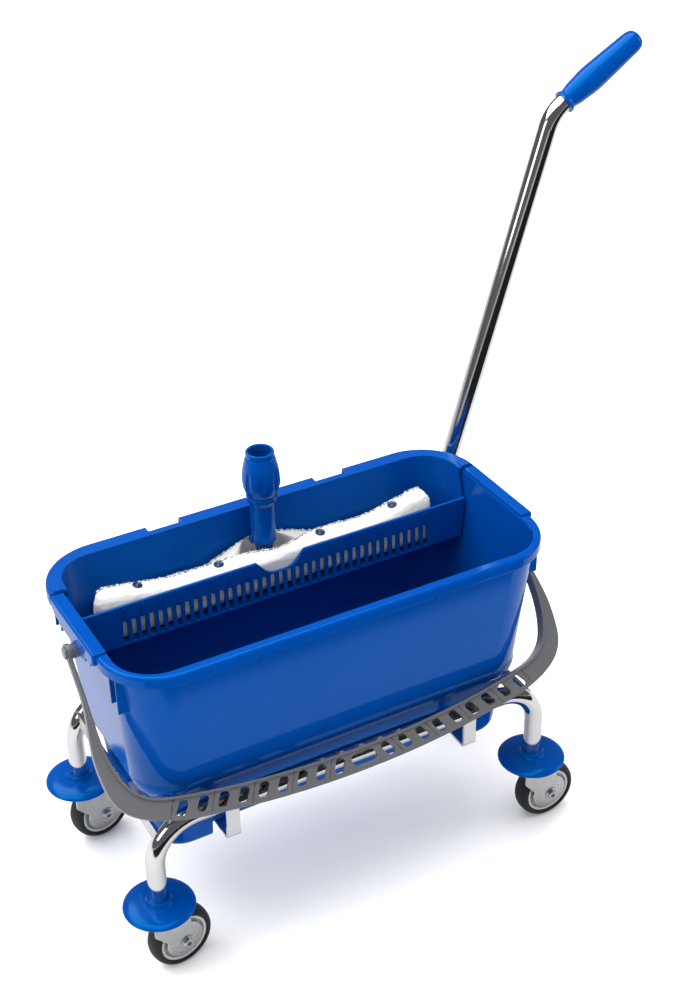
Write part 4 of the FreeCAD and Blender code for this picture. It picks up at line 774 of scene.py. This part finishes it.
class BuildStage(bpy.types.Operator):
    """Pale floor, soft lights and the camera"""

    bl_idname = "mop_bucket.stage"
    bl_label = "Studio"

    def execute(self, context):
        s = context.scene.mop_bucket
        corners = (-FLOOR_HALF, -FLOOR_HALF), (FLOOR_HALF, FLOOR_HALF)
        floor = flat_card("studio_floor", *corners, 0.0)
        f = Finish("floor_paper", Roughness=0.9, Specular_IOR_Level=0.1)
        tone = f.ramp(f.noise(3.0, 3.0), [(0.0, 0.93), (1.0, 0.95)])
        floor.data.materials.append(f.set(Base_Color=tone))

        world = bpy.data.worlds.new("studio")
        context.scene.world = world
        world.use_nodes = True
        nodes, links = world.node_tree.nodes, world.node_tree.links
        nodes.clear()
        output = nodes.new("ShaderNodeOutputWorld")
        path = nodes.new("ShaderNodeLightPath")
        last = None
        for grey, rays in (
            (ROOM_LIGHT, None), (ROOM_MIRRORED, "Is Glossy Ray"), (BACKDROP, "Is Camera Ray"),
        ):
            sky = nodes.new("ShaderNodeBackground")
            sky.inputs["Color"].default_value = (1, 1, 1, 1)
            sky.inputs["Strength"].default_value = grey
            if rays is None:
                last = sky.outputs[0]
                continue
            mix = nodes.new("ShaderNodeMixShader")
            links.new(path.outputs[rays], mix.inputs[0])
            links.new(last, mix.inputs[1])
            links.new(sky.outputs[0], mix.inputs[2])
            last = mix.outputs[0]
        links.new(last, output.inputs["Surface"])

        soft_light("overhead", (MID_X - 0.5, 0.5, 2.6), (MID_X, 0, 0.2), 3.0, s.key_power)
        soft_light("left_box", (-2.6, -0.2, 1.4), (MID_X, 0, 0.3), 1.2, s.side_power)
        soft_light("right_box", (2.4, -1.0, 1.7), (MID_X, 0, 0.3), 1.2, s.side_power)
        for name, low, high, height, grey in (
            ("grey_card", *corners, 0.003, FLOOR_MIRRORED),
            ("black_card", (-3.5, -4.5), (3.5, CARD_EDGE_Y), 0.004, DARK_MIRRORED),
        ):
            card = flat_card(name, low, high, height)
            paint = Finish(name, Roughness=1.0, Specular_IOR_Level=0.0)
            tone = paint.ramp(paint.noise(4.0), [(0, grey * 0.97), (1, grey * 1.03)])
            card.data.materials.append(paint.set(Base_Color=tone))
            card.visible_camera = False
            card.visible_diffuse = False
            card.visible_shadow = False
            card.visible_transmission = False

        data = bpy.data.cameras.new("camera")
        data.lens = CAMERA_LENS
        data.sensor_width = 36.0
        data.clip_start = 0.05
        camera = bpy.data.objects.new("camera", data)
        a, e, r = CAMERA_AZIMUTH, CAMERA_ELEVATION, CAMERA_ROLL
        back = Vector((math.sin(a) * math.cos(e), -math.cos(a) * math.cos(e), math.sin(e)))
        right = Vector((math.cos(a), math.sin(a), 0))
        up = back.cross(right)
        right, up = right * math.cos(r) + up * math.sin(r), up * math.cos(r) - right * math.sin(r)
        turn = Matrix((right, up, back)).transposed().to_4x4()
        camera.matrix_world = Matrix.Translation(CAMERA_PLACE) @ turn
        context.scene.collection.objects.link(camera)
        context.scene.camera = camera
        context.scene.view_settings.view_transform = "Standard"
        return {"FINISHED"}


class MopBucketPanel(bpy.types.Panel):
    """Settings and steps of the mop bucket"""

    bl_idname = "VIEW3D_PT_mop_bucket"
    bl_label = "Mop Bucket"
    bl_space_type = "VIEW_3D"
    bl_region_type = "UI"
    bl_category = "Mop Bucket"

    def draw(self, context):
        column = self.layout.column(align=True)
        settings = context.scene.mop_bucket
        for name in settings.bl_rna.properties.keys():
            if name not in {"rna_type", "name"}:
                column.prop(settings, name)
        for step in STEPS:
            self.layout.operator(step.bl_idname)


STEPS = (
    FinishBluePlastic, FinishGreyPlastic, FinishMetal, FinishTyres,
    BuildWheelDetail, BuildMopCover, BuildSnaps, BuildStage,
)
CLASSES = (MopBucketSettings, *STEPS, MopBucketPanel)


def register():
    for cls in CLASSES:
        bpy.utils.register_class(cls)
    bpy.types.Scene.mop_bucket = PointerProperty(type=MopBucketSettings)


def unregister():
    del bpy.types.Scene.mop_bucket
    for cls in reversed(CLASSES):
        bpy.utils.unregister_class(cls)


def run_step(step):
    """Call an operator as the sidebar does."""
    group, name = step.bl_idname.split(".")
    getattr(getattr(bpy.ops, group), name)()


def main():
    register()
    for step in STEPS:
        run_step(step)


if __name__ == "__main__":
    main()
